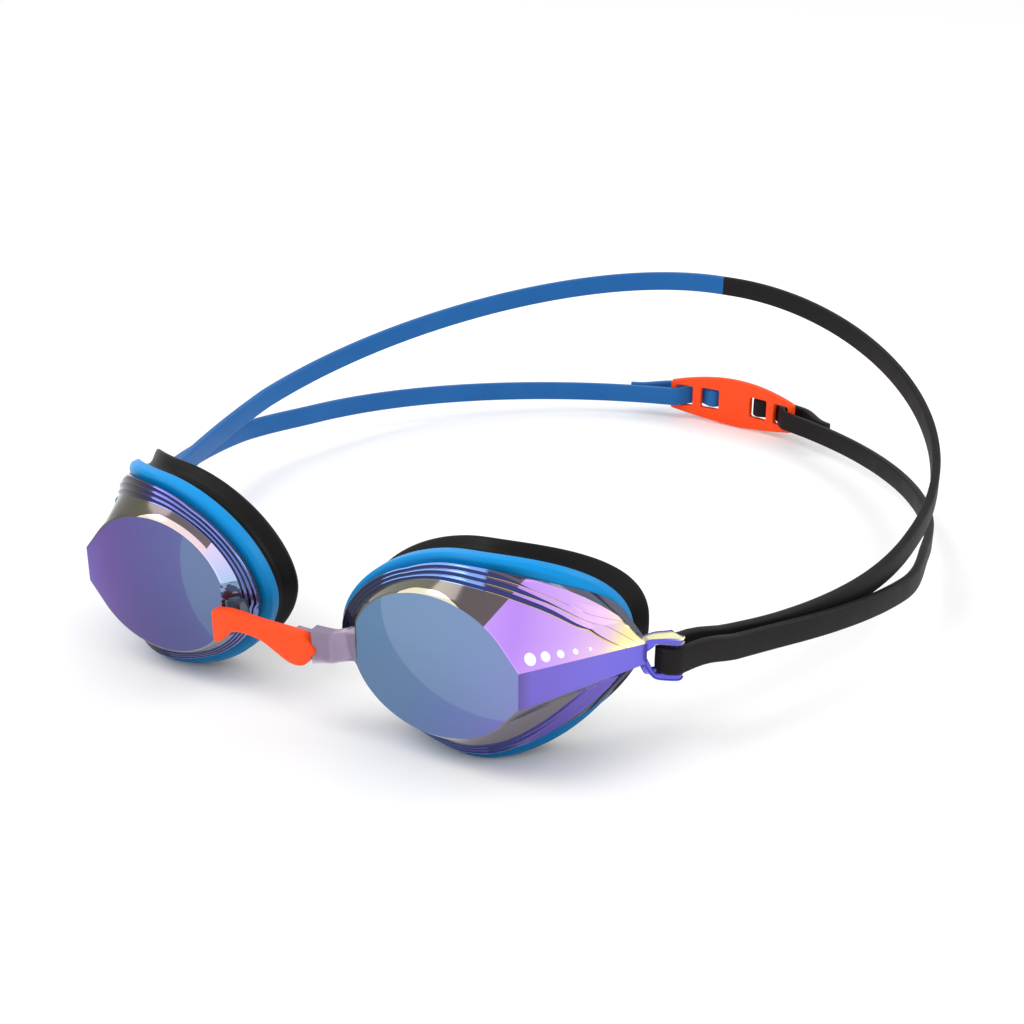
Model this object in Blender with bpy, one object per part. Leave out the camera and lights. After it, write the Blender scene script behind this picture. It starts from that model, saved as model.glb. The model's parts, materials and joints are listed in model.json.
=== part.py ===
"""Swim goggles: two moulded lenses, each with a ring and a face seal, a push-on nosepiece,
and a double rubber strap that runs round a post at each temple and through one clip.

Everything is modelled in the wearer's frame, in millimetres: X to the wearer's left,
Y back from the lens faces, Z up from the lens centres.  `settle` then tips the goggles
until the seals and the clip rest on one plane, and scales them to metres.
"""
import math

import bmesh
import bpy
import numpy as np
from mathutils import Matrix, Vector

MM = 0.001
GAP = 0.3                 # clearance between pieces that touch

# lens face: an ellipse cut short at the nose and drawn out to a short edge at the temple
FACE_X = 33.6             # from the middle of the goggles to the ellipse's centre
FACE_A = 18.3
FACE_B = 15.0
FACE_TEMPLE = 52.6        # where the temple edge stands
FACE_TEMPLE_HALF = 3.8    # half that edge's height
FACE_NOSE = 16.2          # where the nose edge stands
WALL = 1.6

# eye rim: outline of the ring, with its own curve in each quarter
RIM_X = 38.2
RIM_NOSE = 29.5
RIM_TEMPLE = 22.6
RIM_HALF = 21.5
RIM_POWERS = {"temple_top": 2.24, "nose_top": 1.75, "nose_low": 1.83, "temple_low": 2.18}
WRAP_X = 35.8             # past this the rim wraps back round the temple
WRAP = 0.034              # mm back for each mm squared past WRAP_X

RING_FRONT = 5.5          # how far behind the face the ring starts
RING_DEEP = 3.6
RING_WIDE = 4.7
LENS_LAND = 2.0           # how far the lens rim stays inside the ring's outline
SKIRT_DEEP = 4.6          # the lens's inner skirt, through the ring
SKIRT_WALL = 1.3
SEAL_DEEP = 7.5
SEAL_LIP = 0.1            # how far the seal's lip stands outside the ring's outline

# temple wing and eyelet
TIP_OUT = 4.2             # how far the wing's outer edge stands outside the ring's outline
TIP_OUT_BACK = 0.0        # how far that edge stands behind the front of the ring
TIP_IN = 3.0
TIP_IN_BACK = 1.6
TIP_HALF = 2.2
EYELET_Z = -2.3           # the eyelet's middle, below the lens centres
WING_SPREAD = 40.0        # degrees of the rim that the wing is drawn from
POST = (68.6, 30.3)
POST_R = 1.0
LEAVE = (0.32, 0.95)      # the way the strap leaves the post
PRONG = 1.6
PRONG_WIDE = 4.8

# strap
BAND_T = 2.0
BAND_H = 5.2
STRAP_WIDE = 91.5         # half the strap's widest span, at its middle line
STRAP_WIDE_Y = 107.4
STRAP_BACK = 209.6
STRAP_BENDS = (17.0, 33.4, 61.2, 41.9)   # how long the line runs straight at each end of its curves
HINGE_BEHIND = 3.3        # from a post to the line that the strands lift about
UPPER_Z = (-4.4, -8.8, -3.9, 1.9, 16.4, 15.6)
LOWER_Z = (-4.8, -8.6, -12.4, -18.2, -22.2, -20.1)
PASSED = 72.0             # past this from the post the strands are clear, one above the other
PASS_RUN = 28.0
COLOUR_JOIN = -0.6        # where blue meets black, to the wearer's left of the middle
TAIL_RIGHT = 28.4         # where each tail ends, from the middle
TAIL_LEFT = 36.8

# clip
CLIP_MID = 4.0
CLIP_LONG = 40.2
CLIP_HIGH = 14.2
CLIP_END = 8.4
CLIP_T = 1.8
SLOT_H = 7.0
SLOT_IN = 7.95            # from the clip's middle to the inner slots' centres
SLOT_IN_WIDE = 5.9
SLOT_OUT = 15.95
SLOT_OUT_WIDE = 5.3

# nosepiece and arm
BRIDGE_FRONT = -3.2
BRIDGE_T = 2.3
BRIDGE_TOP = 0.4
BRIDGE_LEFT = -16.8
BRIDGE_TIP = 8.8
BRIDGE_TIP_Z = -2.4
BRIDGE_LOW = -6.8
BRIDGE_WAIST = -3.4
LUG_X = -14.2
LUG_Z = -1.5
PEG_X = 4.6
LUG = (2.0, 2.6)          # width and height of the lug and the peg

objects = {}


def clear_scene():
    for obj in list(bpy.data.objects):
        bpy.data.objects.remove(obj)


def paint(name, colour, rough, metal=0.0, through=0.0):
    mat = bpy.data.materials.new(name)
    mat.use_nodes = True
    shader = mat.node_tree.nodes["Principled BSDF"]
    shader.inputs["Base Color"].default_value = (*colour, 1.0)
    shader.inputs["Roughness"].default_value = rough
    shader.inputs["Metallic"].default_value = metal
    shader.inputs["Transmission Weight"].default_value = through
    return mat


def new_object(name, mesh, mat, group):
    obj = bpy.data.objects.new(name, mesh)
    group.objects.link(obj)
    if mat is not None:
        mesh.materials.clear()
        mesh.materials.append(mat)
    return obj


def mesh_from(name, verts, faces):
    """A closed mesh whose faces all point out."""
    mesh = bpy.data.meshes.new(name)
    mesh.from_pydata([tuple(v) for v in verts], [], faces)
    bm = bmesh.new()
    bm.from_mesh(mesh)
    bmesh.ops.recalc_face_normals(bm, faces=bm.faces)
    bm.to_mesh(mesh)
    bm.free()
    return mesh


def loft(name, rings, close_ends=True, close_path=False):
    """Skin between rings that have the same number of points."""
    count = len(rings[0])
    verts = [p for ring in rings for p in ring]
    faces = []
    spans = len(rings) if close_path else len(rings) - 1
    for i in range(spans):
        a = i * count
        b = ((i + 1) % len(rings)) * count
        for k in range(count):
            n = (k + 1) % count
            faces.append((a + k, a + n, b + n, b + k))
    if close_ends and not close_path:
        faces.append(tuple(range(count)))
        faces.append(tuple(range((len(rings) - 1) * count, len(rings) * count)))
    return mesh_from(name, verts, faces)


def mirrored(mesh, name):
    copy = mesh.copy()
    copy.name = name
    copy.transform(Matrix.Scale(-1, 4, (1, 0, 0)))
    copy.flip_normals()
    return copy


def box_mesh(name, low, high):
    bm = bmesh.new()
    bmesh.ops.create_cube(bm, size=1.0)
    size = [h - l for l, h in zip(low, high)]
    mid = [(h + l) / 2 for l, h in zip(low, high)]
    bmesh.ops.scale(bm, vec=size, verts=bm.verts)
    bmesh.ops.translate(bm, vec=mid, verts=bm.verts)
    mesh = bpy.data.meshes.new(name)
    bm.to_mesh(mesh)
    bm.free()
    return mesh


def cylinder_mesh(name, radius, start, end, sides=24):
    start, end = Vector(start), Vector(end)
    along = end - start
    bm = bmesh.new()
    bmesh.ops.create_cone(bm, cap_ends=True, segments=sides, radius1=radius, radius2=radius,
                          depth=along.length)
    turn = Vector((0, 0, 1)).rotation_difference(along).to_matrix().to_4x4()
    bmesh.ops.transform(bm, matrix=Matrix.Translation((start + end) / 2) @ turn, verts=bm.verts)
    mesh = bpy.data.meshes.new(name)
    bm.to_mesh(mesh)
    bm.free()
    return mesh


def combine(base, others, operation, cutters):
    """Join meshes to a base, or cut them from it, and return the result as one mesh."""
    obj = new_object(base.name, base, None, cutters)
    for other in others:
        tool = new_object(other.name + "_tool", other, None, cutters)
        tool.hide_render = True
        tool.display_type = "WIRE"
        step = obj.modifiers.new(operation.lower(), "BOOLEAN")
        step.operation = operation
        step.solver = "EXACT"
        step.object = tool
    bpy.context.view_layer.update()
    result = bpy.data.meshes.new_from_object(obj.evaluated_get(bpy.context.evaluated_depsgraph_get()))
    for other in list(cutters.objects):
        bpy.data.objects.remove(other)
    return result


# ---------------------------------------------------------------- outlines round the eye
def face_stations():
    """Points round the lens face, starting at the foot of the temple edge, anticlockwise."""
    a = (FACE_TEMPLE - FACE_X) / FACE_A
    b = FACE_TEMPLE_HALF / FACE_B
    start = math.atan2(b, a) + math.acos(1 / math.hypot(a, b))
    stop = math.acos((FACE_NOSE - FACE_X) / FACE_A)
    touch = (FACE_X + FACE_A * math.cos(start), FACE_B * math.sin(start))
    corner = (FACE_TEMPLE, FACE_TEMPLE_HALF)
    top = [corner]
    for i in range(1, 3):
        top.append(tuple(c + (t - c) * i / 3 for c, t in zip(corner, touch)))
    arc_steps = 22
    for i in range(arc_steps + 1):
        t = start + (stop - start) * i / arc_steps
        top.append((FACE_X + FACE_A * math.cos(t), FACE_B * math.sin(t)))
    nose_half = top[-1][1]
    nose = [(FACE_NOSE, nose_half * f) for f in (0.5, 0.0, -0.5)]
    low = [(x, -z) for x, z in reversed(top)]
    temple = [(FACE_TEMPLE, FACE_TEMPLE_HALF * f) for f in (-0.5, 0.0, 0.5)]
    return top + nose + low + temple


FACE = face_stations()
ANGLES = [math.atan2(z, x - RIM_X) for x, z in FACE]


def wrap_back(x):
    """How far the rim has curved back at x; outside the rim it curves no further."""
    x = min(x, RIM_X + RIM_TEMPLE)
    return WRAP * max(0.0, x - WRAP_X) ** 2


def rim_point(angle, grow, y):
    """A point on the eye rim, `grow` outside the ring's outline and y behind the face."""
    side = "temple" if math.cos(angle) > 0 else "nose"
    half = "top" if math.sin(angle) > 0 else "low"
    power = RIM_POWERS[side + "_" + half]
    reach = RIM_TEMPLE if side == "temple" else RIM_NOSE
    c = abs(math.cos(angle)) / reach
    s = abs(math.sin(angle)) / RIM_HALF
    r = (c ** power + s ** power) ** (-1 / power) + grow
    x = RIM_X + r * math.cos(angle)
    return Vector((x, y + wrap_back(x), r * math.sin(angle)))


def rim_ring(grow, y):
    return [rim_point(a, grow, y) for a in ANGLES]


def wing_weight(angle):
    """1 on the temple edge, easing to 0 where the wing leaves the rim."""
    edge = math.atan2(FACE_TEMPLE_HALF, FACE_TEMPLE - RIM_X)
    spread = math.radians(WING_SPREAD)
    t = (abs(angle) - edge) / spread
    t = min(1.0, max(0.0, t))
    return (1 - t) ** 2 * (1 + 2 * t)


def wing_ring(grow, y, tip_grow, tip_y, squeeze, late):
    """The rim outline, drawn out and pinched at the temple to make the wing.

    The wing stays in front of the ring until it is clear outside it, then runs back.
    """
    ring = []
    edge = math.atan2(FACE_TEMPLE_HALF, FACE_TEMPLE - RIM_X)
    for angle in ANGLES:
        w = wing_weight(angle)
        lift = max(-1.0, min(1.0, angle / edge))
        point = rim_point(angle * (1 - squeeze * w), grow + (tip_grow - grow) * w,
                          y + (tip_y - y) * w ** late)
        point.z += (TIP_HALF * lift + EYELET_Z / 2) * w * squeeze
        ring.append(point)
    return ring


def inset_face(inset, y):
    ring = []
    for (x, z), angle in zip(FACE, ANGLES):
        ring.append(Vector((x - inset * math.cos(angle), y, z - inset * math.sin(angle))))
    return ring


def ridge_depth(angle):
    """The three ridges are full over the top and bottom and fade to the nose and temple."""
    return max(0.0, abs(math.sin(angle)) - 0.25) / 0.75


RIDGES = ((0.66, 0.0), (0.68, 0.5), (0.77, 0.35), (0.79, 0.9), (0.88, 0.75), (0.90, 1.3), (1.0, 1.1))


def lens_mesh(name):
    face = inset_face(0.0, 0.0)
    base_y = RING_FRONT - GAP
    outer = wing_ring(-LENS_LAND - 1.1, base_y - 1.2, TIP_OUT, RING_FRONT + TIP_OUT_BACK, 1.0, 2)
    rings = [face]
    for part, out in RIDGES:
        ring = []
        for f, w, angle in zip(face, outer, ANGLES):
            point = f.lerp(w, part)
            step = out * ridge_depth(angle)
            ring.append(point + Vector((math.cos(angle), 0, math.sin(angle))) * step)
        rings.append(ring)
    rings.append(wing_ring(-LENS_LAND, base_y - 0.6, TIP_IN, RING_FRONT + TIP_IN_BACK, 1.0, 3))
    rings.append(wing_ring(-LENS_LAND, base_y, 0.6, base_y, 0.0, 1))
    skirt = -RING_WIDE - GAP
    rings.append(rim_ring(skirt, base_y))
    rings.append(rim_ring(skirt, base_y + SKIRT_DEEP))
    rings.append(rim_ring(skirt - SKIRT_WALL, base_y + SKIRT_DEEP))
    rings.append(rim_ring(skirt - SKIRT_WALL, base_y))
    rings.append(inset_face(WALL, WALL))
    return loft(name, rings)


def ring_section(profile):
    """Close a profile of (grow, y) points into a ring round the eye rim."""
    return [[rim_point(a, grow, y) for grow, y in profile] for a in ANGLES]


def frame_ring_mesh(name):
    front, back = RING_FRONT, RING_FRONT + RING_DEEP
    profile = [(-RING_WIDE, front), (-0.9, front), (0.0, front + 0.9), (0.0, back - 0.7),
               (-0.7, back), (-RING_WIDE, back)]
    return loft(name, ring_section(profile), close_path=True)


def seal_mesh(name):
    front = RING_FRONT + RING_DEEP + GAP
    deep = front + SEAL_DEEP
    inner = -RING_WIDE
    lip = deep - 2.7
    profile = [(inner, front), (-1.2, front), (-1.9, front + 2.0), (-1.5, lip - 2.0),
               (SEAL_LIP - 0.5, lip - 0.9), (SEAL_LIP, lip), (SEAL_LIP - 0.6, lip + 1.0),
               (-2.2, deep - 0.6), (-4.4, deep), (-6.2, deep - 0.3), (-6.7, deep - 1.4), (-5.7, deep - 3.2)]
    return loft(name, ring_section(profile), close_path=True)


# ---------------------------------------------------------------- strap path
def bezier(points, t):
    a, b, c, d = (Vector(p) for p in points)
    return a * (1 - t) ** 3 + b * 3 * t * (1 - t) ** 2 + c * 3 * t * t * (1 - t) + d * t ** 3


class StrapLine:
    """The strap's middle line on one side, from the back (s = 0) to the temple post."""

    def __init__(self):
        leave = Vector(LEAVE).normalized()
        post = Vector(POST)
        first, second, third, last = STRAP_BENDS
        near = [post, post + leave * first, Vector((STRAP_WIDE, STRAP_WIDE_Y - second)),
                Vector((STRAP_WIDE, STRAP_WIDE_Y))]
        far = [near[3], Vector((STRAP_WIDE, STRAP_WIDE_Y + third)), Vector((last, STRAP_BACK)),
               Vector((0.0, STRAP_BACK))]
        samples = []
        steps = 120
        for i in range(steps):
            t = i / steps
            samples.append(self.sample(near, (EYELET_Z,) + UPPER_Z[:3], (EYELET_Z,) + LOWER_Z[:3], t))
        for i in range(steps + 1):
            t = i / steps
            samples.append(self.sample(far, UPPER_Z[2:], LOWER_Z[2:], t))
        samples.reverse()
        table = np.array(samples)
        step = np.hypot(*np.diff(table[:, :2], axis=0).T)
        self.s = np.concatenate([[0.0], np.cumsum(step)])
        self.table = table
        self.length = float(self.s[-1])

    @staticmethod
    def sample(plan, upper, lower, t):
        p = bezier(plan, t)
        high = bezier([(z, 0) for z in upper], t)[0]
        low = bezier([(z, 0) for z in lower], t)[0]
        return (p[0], p[1], high, low)

    def column(self, s, k):
        return float(np.interp(abs(s), self.s, self.table[:, k]))

    def place(self, s, off, z):
        """s mm round from the back (+ to the wearer's left), off mm outwards, z up."""
        reach = 1.0
        ahead = Vector((self.column(abs(s) + reach, 0), self.column(abs(s) + reach, 1)))
        behind_s = abs(s) - reach
        bx = self.column(behind_s, 0) * (1 if behind_s >= 0 else -1)
        behind = Vector((bx, self.column(behind_s, 1)))
        tangent = (ahead - behind).normalized()
        x = self.column(s, 0) - tangent[1] * off
        y = self.column(s, 1) + tangent[0] * off
        return Vector((x if s >= 0 else -x, y, z))

    def level(self, s):
        """Both strands leave the posts level, and reach their own heights a little way on."""
        t = min(1.0, max(0.0, (self.length - HINGE_BEHIND - abs(s)) / 12))
        return t * t * (3 - 2 * t)

    def upper(self, s):
        return EYELET_Z + (self.column(s, 2) - EYELET_Z) * self.level(s)

    def lower(self, s):
        return EYELET_Z + (self.column(s, 3) - EYELET_Z) * self.level(s)


LINE = StrapLine()
NEST = BAND_T / 2 + GAP               # each layer's middle, out from the strap's middle line
ROUND_POST = POST_R + GAP + BAND_T / 2
HINGE_S = LINE.length - HINGE_BEHIND


def ease(t):
    t = min(1.0, max(0.0, t))
    return t * t * (3 - 2 * t)


def layer_off(s, sign):
    """How far a layer lies outside the strap's middle line: the lower strand is the outer one.

    The two layers part a little more where they go round the post. Once the strands are
    clear of each other the lower one swings in, until it lies right under the upper one.
    """
    run = LINE.length - abs(s)
    off = sign * (ROUND_POST + (NEST - ROUND_POST) * ease((run - 4) / 26))
    if sign > 0:
        off -= 2 * NEST * ease((run - PASSED) / PASS_RUN)
    return off


def band_ring(centre, normal, half_t, half_h):
    cut_t = half_t * 0.45
    cut_h = half_h * 0.74
    shape = [(-half_t, -cut_h), (-cut_t, -half_h), (cut_t, -half_h), (half_t, -cut_h),
             (half_t, cut_h), (cut_t, half_h), (-cut_t, half_h), (-half_t, cut_h)]
    return [centre + normal * u + Vector((0, 0, v)) for u, v in shape]


def band(name, path, heights=None):
    """Sweep the strap's bevelled section along a path, standing upright."""
    rings = []
    for i, point in enumerate(path):
        before = path[max(0, i - 1)]
        after = path[min(len(path) - 1, i + 1)]
        run = after - before
        run.z = 0
        run.normalize()
        normal = Vector((run.y, -run.x, 0))
        high = BAND_H / 2 if heights is None else heights[i]
        rings.append(band_ring(point, normal, BAND_T / 2, high))
    return loft(name, rings)


def strand_path(start, end, side, height, sign, steps):
    """A strand from s = start to the round end that it lifts about."""
    path, heights = [], []
    end = end - sign * ROUND_POST * LEAVE[0] / LEAVE[1]
    for i in range(steps + 1):
        s = start + (end - start) * i / steps
        path.append(LINE.place(side * s, layer_off(s, sign), height(s)))
        heights.append(BAND_H / 2)
    for k in (0.4, 0.7, 0.9):
        s = end + k * BAND_H / 2
        path.append(LINE.place(side * s, layer_off(s, sign), height(s)))
        heights.append(BAND_H / 2 * math.sqrt(1 - k * k))
    return path, heights


def upper_strand(name, side):
    begin = side * COLOUR_JOIN + GAP / 2
    path, heights = strand_path(begin, HINGE_S, side, LINE.upper, -1, 44)
    return band(name, path, heights)


# clip-side stations, along the strap's middle line
CLIP_OFF = -NEST + BAND_T / 2 + GAP + CLIP_T / 2     # the plate's middle
BEHIND = CLIP_OFF + CLIP_T / 2 + GAP + BAND_T / 2    # a band lying on the outside of the clip


def clip_s(side, along):
    """Turn a distance out from the clip's middle into a place on the strap's line."""
    return CLIP_MID + side * along


def lower_strand(name, side):
    """From the outside of the clip, through the outer slot, and round to the temple."""
    path, heights = [], []
    through = SLOT_OUT
    path.append(LINE.place(clip_s(side, through - 3.4), BEHIND, LINE.lower(clip_s(side, through))))
    heights.append(BAND_H / 2)
    for i in range(1, 9):
        t = i / 8
        along = through - 3.2 + 6.4 * t
        off = BEHIND + (-NEST - BEHIND) * ease(t)
        path.append(LINE.place(clip_s(side, along), off, LINE.lower(clip_s(side, along))))
        heights.append(BAND_H / 2)
    first = abs(clip_s(side, through + 5.5))
    rest, high = strand_path(first, HINGE_S, side, LINE.lower, 1, 42)
    return band(name, path + rest, heights + high)


OUTER = BEHIND + BAND_T + GAP                        # the tail, lying over the strand's end


def clip_turn(name, side):
    """The strap's bight through the inner slot, from the strand's end round to the tail."""
    z = LINE.lower(CLIP_MID)
    start = SLOT_OUT - 3.4 - GAP
    shape = [(start, BEHIND), (SLOT_IN + 2.9, BEHIND), (SLOT_IN + 0.7, CLIP_OFF + 0.8),
             (SLOT_IN - 0.5, CLIP_OFF + 0.3), (SLOT_IN - 1.45, CLIP_OFF + 1.0),
             (SLOT_IN - 1.6, CLIP_OFF + 2.4), (SLOT_IN - 1.0, BEHIND + 1.5),
             (SLOT_IN + 0.2, OUTER), (SLOT_IN + 2.2, OUTER)]
    return band(name, [LINE.place(clip_s(side, a), off, z) for a, off in shape])


def tail(name, side, end):
    """The strap's free end: over the clip, then down to lie along the outside of the strand."""
    path = []
    first = SLOT_IN + 2.2 + GAP
    last = abs(end - side * CLIP_MID)
    leave = SLOT_OUT + 3.6
    close = NEST + GAP
    steps = 14
    for i in range(steps + 1):
        along = first + (last - first) * i / steps
        s = clip_s(side, along)
        off = OUTER + (close - OUTER) * ease((along - leave) / (last - 2 - leave))
        path.append(LINE.place(s, off, LINE.lower(s)))
    return band(name, path)


def post_loop(name, cutters):
    """The strap's turn round the post, joining the outer layer to the inner one."""
    post = Vector((*POST, EYELET_Z))
    leave = Vector((*LEAVE, 0)).normalized()
    across = Vector((leave.y, -leave.x, 0))
    leg = HINGE_BEHIND
    path = [post + leave * leg + across * ROUND_POST, post + across * ROUND_POST]
    turns = 12
    for i in range(1, turns):
        a = math.pi * i / turns
        path.append(post + (across * math.cos(a) - leave * math.sin(a)) * ROUND_POST)
    path += [post - across * ROUND_POST, post + leave * leg - across * ROUND_POST]
    loop = band(name, path)
    y, z = hinge_point().yz
    radius = BAND_H / 2 + GAP
    cutter = cylinder_mesh("lift_clearance", radius, (POST[0] - 12, y, z), (POST[0] + 12, y, z), 40)
    return combine(loop, [cutter], "DIFFERENCE", cutters)


def hinge_point():
    return LINE.place(HINGE_S, 0.0, EYELET_Z)


# ---------------------------------------------------------------- pieces built round the lens
def prong_mesh(name, up):
    """One arm of the temple fork, from inside the wing's tip out over the post."""
    leave = Vector((*LEAVE, 0)).normalized()
    across = Vector((leave.y, -leave.x, 0))
    inner = BAND_H / 2 + GAP + 0.1
    post = Vector((*POST, EYELET_Z))
    back = RING_FRONT + (TIP_OUT_BACK + TIP_IN_BACK) / 2
    root = rim_point(0.0, (TIP_OUT + TIP_IN) / 2 - 0.9, back - 0.9)
    root.z += EYELET_Z / 2
    level = Vector((root.x, root.y, EYELET_Z))
    stations = [(root, 0.25, 1.9, 1.3), (root.lerp(post, 0.15), 0.9, 2.9, 2.2),
                (level.lerp(post, 0.34), inner, inner + PRONG * 0.8, PRONG_WIDE * 0.6),
                (level.lerp(post, 0.66), inner, inner + PRONG, PRONG_WIDE * 0.9),
                (post, inner, inner + PRONG, PRONG_WIDE),
                (post + leave * 1.4, inner, inner + PRONG, PRONG_WIDE * 0.8)]
    rings = []
    for centre, low, high, wide in stations:
        a = centre - across * wide / 2
        b = centre + across * wide / 2
        low, high = centre.z + up * low, centre.z + up * high
        rings.append([Vector((a.x, a.y, low)), Vector((b.x, b.y, low)),
                      Vector((b.x, b.y, high)), Vector((a.x, a.y, high))])
    return loft(name, rings)


def post_mesh():
    reach = BAND_H / 2 + GAP + 0.1 + PRONG / 2
    return cylinder_mesh("post", POST_R, (*POST, EYELET_Z - reach), (*POST, EYELET_Z + reach), 20)


def lug_box(name, x, z, grow, front, back):
    wide, high = LUG[0] / 2 + grow, LUG[1] / 2 + grow
    return box_mesh(name, (x - wide, front, z - high), (x + wide, back, z + high))


def bridge_outline(grow=0.0):
    """The nosepiece from the front: tall at both ends, arched between, pointed at one end."""
    left, tip = BRIDGE_LEFT, BRIDGE_TIP
    top, low, waist = BRIDGE_TOP, BRIDGE_LOW, BRIDGE_WAIST
    pts = [(left, top - 0.4), (left + 4.0, top + 0.3), (left + 12.0, top), (tip - 3.2, top + 0.2),
           (tip, BRIDGE_TIP_Z), (tip - 3.0, low + 0.4), (tip - 4.6, low), (tip - 6.8, low + 0.1),
           (tip - 9.6, low + 1.4), (tip - 13.0, waist - 0.2), (left + 10.0, waist + 0.1),
           (left + 5.8, waist), (left + 3.6, waist - 0.8), (left + 1.7, low - 0.1),
           (left, low - 0.5)]
    return pts


def plate(name, outline, front, back, chamfer=0.0):
    rings = []
    cx = sum(p[0] for p in outline) / len(outline)
    cz = sum(p[1] for p in outline) / len(outline)
    if chamfer:
        rings.append([Vector((x + math.copysign(chamfer, cx - x) * 0.6, front,
                              z + math.copysign(chamfer, cz - z))) for x, z in outline])
        rings.append([Vector((x, front + chamfer, z)) for x, z in outline])
    else:
        rings.append([Vector((x, front, z)) for x, z in outline])
    rings.append([Vector((x, back, z)) for x, z in outline])
    return loft(name, rings)


def nosepiece_mesh(name, cutters):
    back = BRIDGE_FRONT + BRIDGE_T
    body = plate(name, bridge_outline(), BRIDGE_FRONT, back, 0.45)
    floor = BRIDGE_FRONT + 1.1
    pockets = [lug_box("lug_pocket", LUG_X, LUG_Z, GAP, floor, back + 1),
               lug_box("peg_pocket", PEG_X, BRIDGE_TIP_Z, GAP, floor, back + 1)]
    return combine(body, pockets, "DIFFERENCE", cutters)


def arm_mesh(cutters):
    """The arm on one lens: a notched front, and a tongue that runs on behind the nosepiece."""
    behind = BRIDGE_FRONT + BRIDGE_T + GAP
    tip = BRIDGE_TIP
    stations = [(tip - 3.0, BRIDGE_FRONT + 0.5, behind + 1.3, BRIDGE_TIP_Z, 8.0),
                (tip + 0.4, BRIDGE_FRONT + 0.6, behind + 1.4, BRIDGE_TIP_Z, 7.4),
                (tip + 3.4, BRIDGE_FRONT + 1.9, behind + 2.6, BRIDGE_TIP_Z + 0.7, 6.8),
                (FACE_NOSE - 0.6, 0.5, behind + 4.0, BRIDGE_TIP_Z + 1.5, 7.6),
                (FACE_NOSE + 1.0, 0.9, behind + 4.2, BRIDGE_TIP_Z + 1.7, 8.2)]
    rings = []
    for x, front, back, mid, tall in stations:
        h = tall / 2
        cut = 0.8
        rings.append([Vector((x, front, mid - h + cut)), Vector((x, front, mid + h - cut)),
                      Vector((x, front + cut, mid + h)), Vector((x, back, mid + h)),
                      Vector((x, back, mid - h)), Vector((x, front + cut, mid - h))])
    body = loft("nose_arm", rings)
    notch = [(tip + GAP * 1.6, BRIDGE_TIP_Z), (tip - 3.2 + GAP, BRIDGE_TOP + 0.2 + GAP),
             (tip - 8, BRIDGE_TOP + 4), (tip - 8, BRIDGE_LOW - 4),
             (tip - 3.0 + GAP, BRIDGE_LOW + 0.4 - GAP)]
    cutter = plate("notch", notch, BRIDGE_FRONT - 1, behind)
    arm = combine(body, [cutter], "DIFFERENCE", cutters)
    tongue = box_mesh("tongue", (PEG_X - 2.2, behind, BRIDGE_TIP_Z - 2.4),
                      (tip + 0.4, behind + 1.2, BRIDGE_TIP_Z + 2.4))
    peg = lug_box("peg", PEG_X, BRIDGE_TIP_Z, 0.0, BRIDGE_FRONT + 1.1 + GAP, behind + 0.6)
    return combine(arm, [tongue, peg], "UNION", cutters)


def lens_node(name, side, cutters):
    base = lens_mesh(name)
    temple = [prong_mesh("prong_up", 1), prong_mesh("prong_low", -1), post_mesh()]
    lens = combine(base, temple, "UNION", cutters)
    if side > 0:
        return combine(lens, [arm_mesh(cutters)], "UNION", cutters)
    lens = mirrored(lens, name)
    lug = lug_box("lug", LUG_X, LUG_Z, 0.0, BRIDGE_FRONT + 1.1 + GAP, 4.2)
    foot = box_mesh("lug_foot", (LUG_X - 2.2, 0.4, LUG_Z - 2.6), (LUG_X + 1.6, RING_FRONT - 2 * GAP, LUG_Z + 2.6))
    return combine(lens, [lug, foot], "UNION", cutters)


def clip_outline():
    half = CLIP_LONG / 2
    top, end = CLIP_HIGH / 2, CLIP_END / 2
    pts = []
    steps = 14
    for i in range(steps + 1):
        x = -half + CLIP_LONG * i / steps
        z = end + (top - end) * math.cos(math.pi / 2 * abs(x) / half) ** 0.9
        pts.append((x, z))
    return pts + [(x, -z) for x, z in reversed(pts)]


def clip_mesh(name, cutters):
    """A bowed plate with four slots, made flat and then wrapped along the strap."""
    body = plate(name, clip_outline(), -CLIP_T / 2, CLIP_T / 2, 0.3)
    slots = []
    for x, wide in ((SLOT_IN, SLOT_IN_WIDE), (SLOT_OUT, SLOT_OUT_WIDE)):
        for middle in (-x, x):
            slots.append(box_mesh("slot", (middle - wide / 2, -CLIP_T, -SLOT_H / 2),
                                  (middle + wide / 2, CLIP_T, SLOT_H / 2)))
    mesh = combine(body, slots, "DIFFERENCE", cutters)
    middle = LINE.lower(CLIP_MID)
    for vert in mesh.vertices:
        x, y, z = vert.co
        vert.co = LINE.place(CLIP_MID + x, CLIP_OFF + y, middle + z)
    return mesh


def settle(parts):
    """Tip the goggles about X until a seal and the clip touch one plane, then centre them."""
    def lowest(names, tilt):
        turn = Matrix.Rotation(tilt, 4, "X")
        return min((turn @ v.co).z for n in names for v in parts[n].data.vertices)

    low, high = 0.0, math.radians(6)
    for _ in range(40):
        tilt = (low + high) / 2
        if lowest(["strap_clip"], tilt) < lowest(["seal_left", "seal_right"], tilt):
            low = tilt
        else:
            high = tilt
    turn = Matrix.Rotation(low, 4, "X")
    points = [turn @ v.co for obj in parts.values() for v in obj.data.vertices]
    floor = min(p.z for p in points)
    middle = (min(p.y for p in points) + max(p.y for p in points)) / 2
    move = Matrix.Translation((0, -middle, -floor)) @ turn
    scale = Matrix.Scale(MM, 4)
    for obj in parts.values():
        obj.data.transform(scale @ move)
        obj.data.shade_smooth()
        obj.data.set_sharp_from_angle(angle=math.radians(35))
    return scale @ move


def pivot(name, place, riders, group):
    """An empty on a joint's axis, with the pieces that move about it."""
    empty = bpy.data.objects.new(name, None)
    empty.location = place
    empty.empty_display_size = 0.01
    group.objects.link(empty)
    for rider in riders:
        objects[rider].parent = empty
        objects[rider].matrix_parent_inverse = Matrix.Translation(-place)


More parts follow.
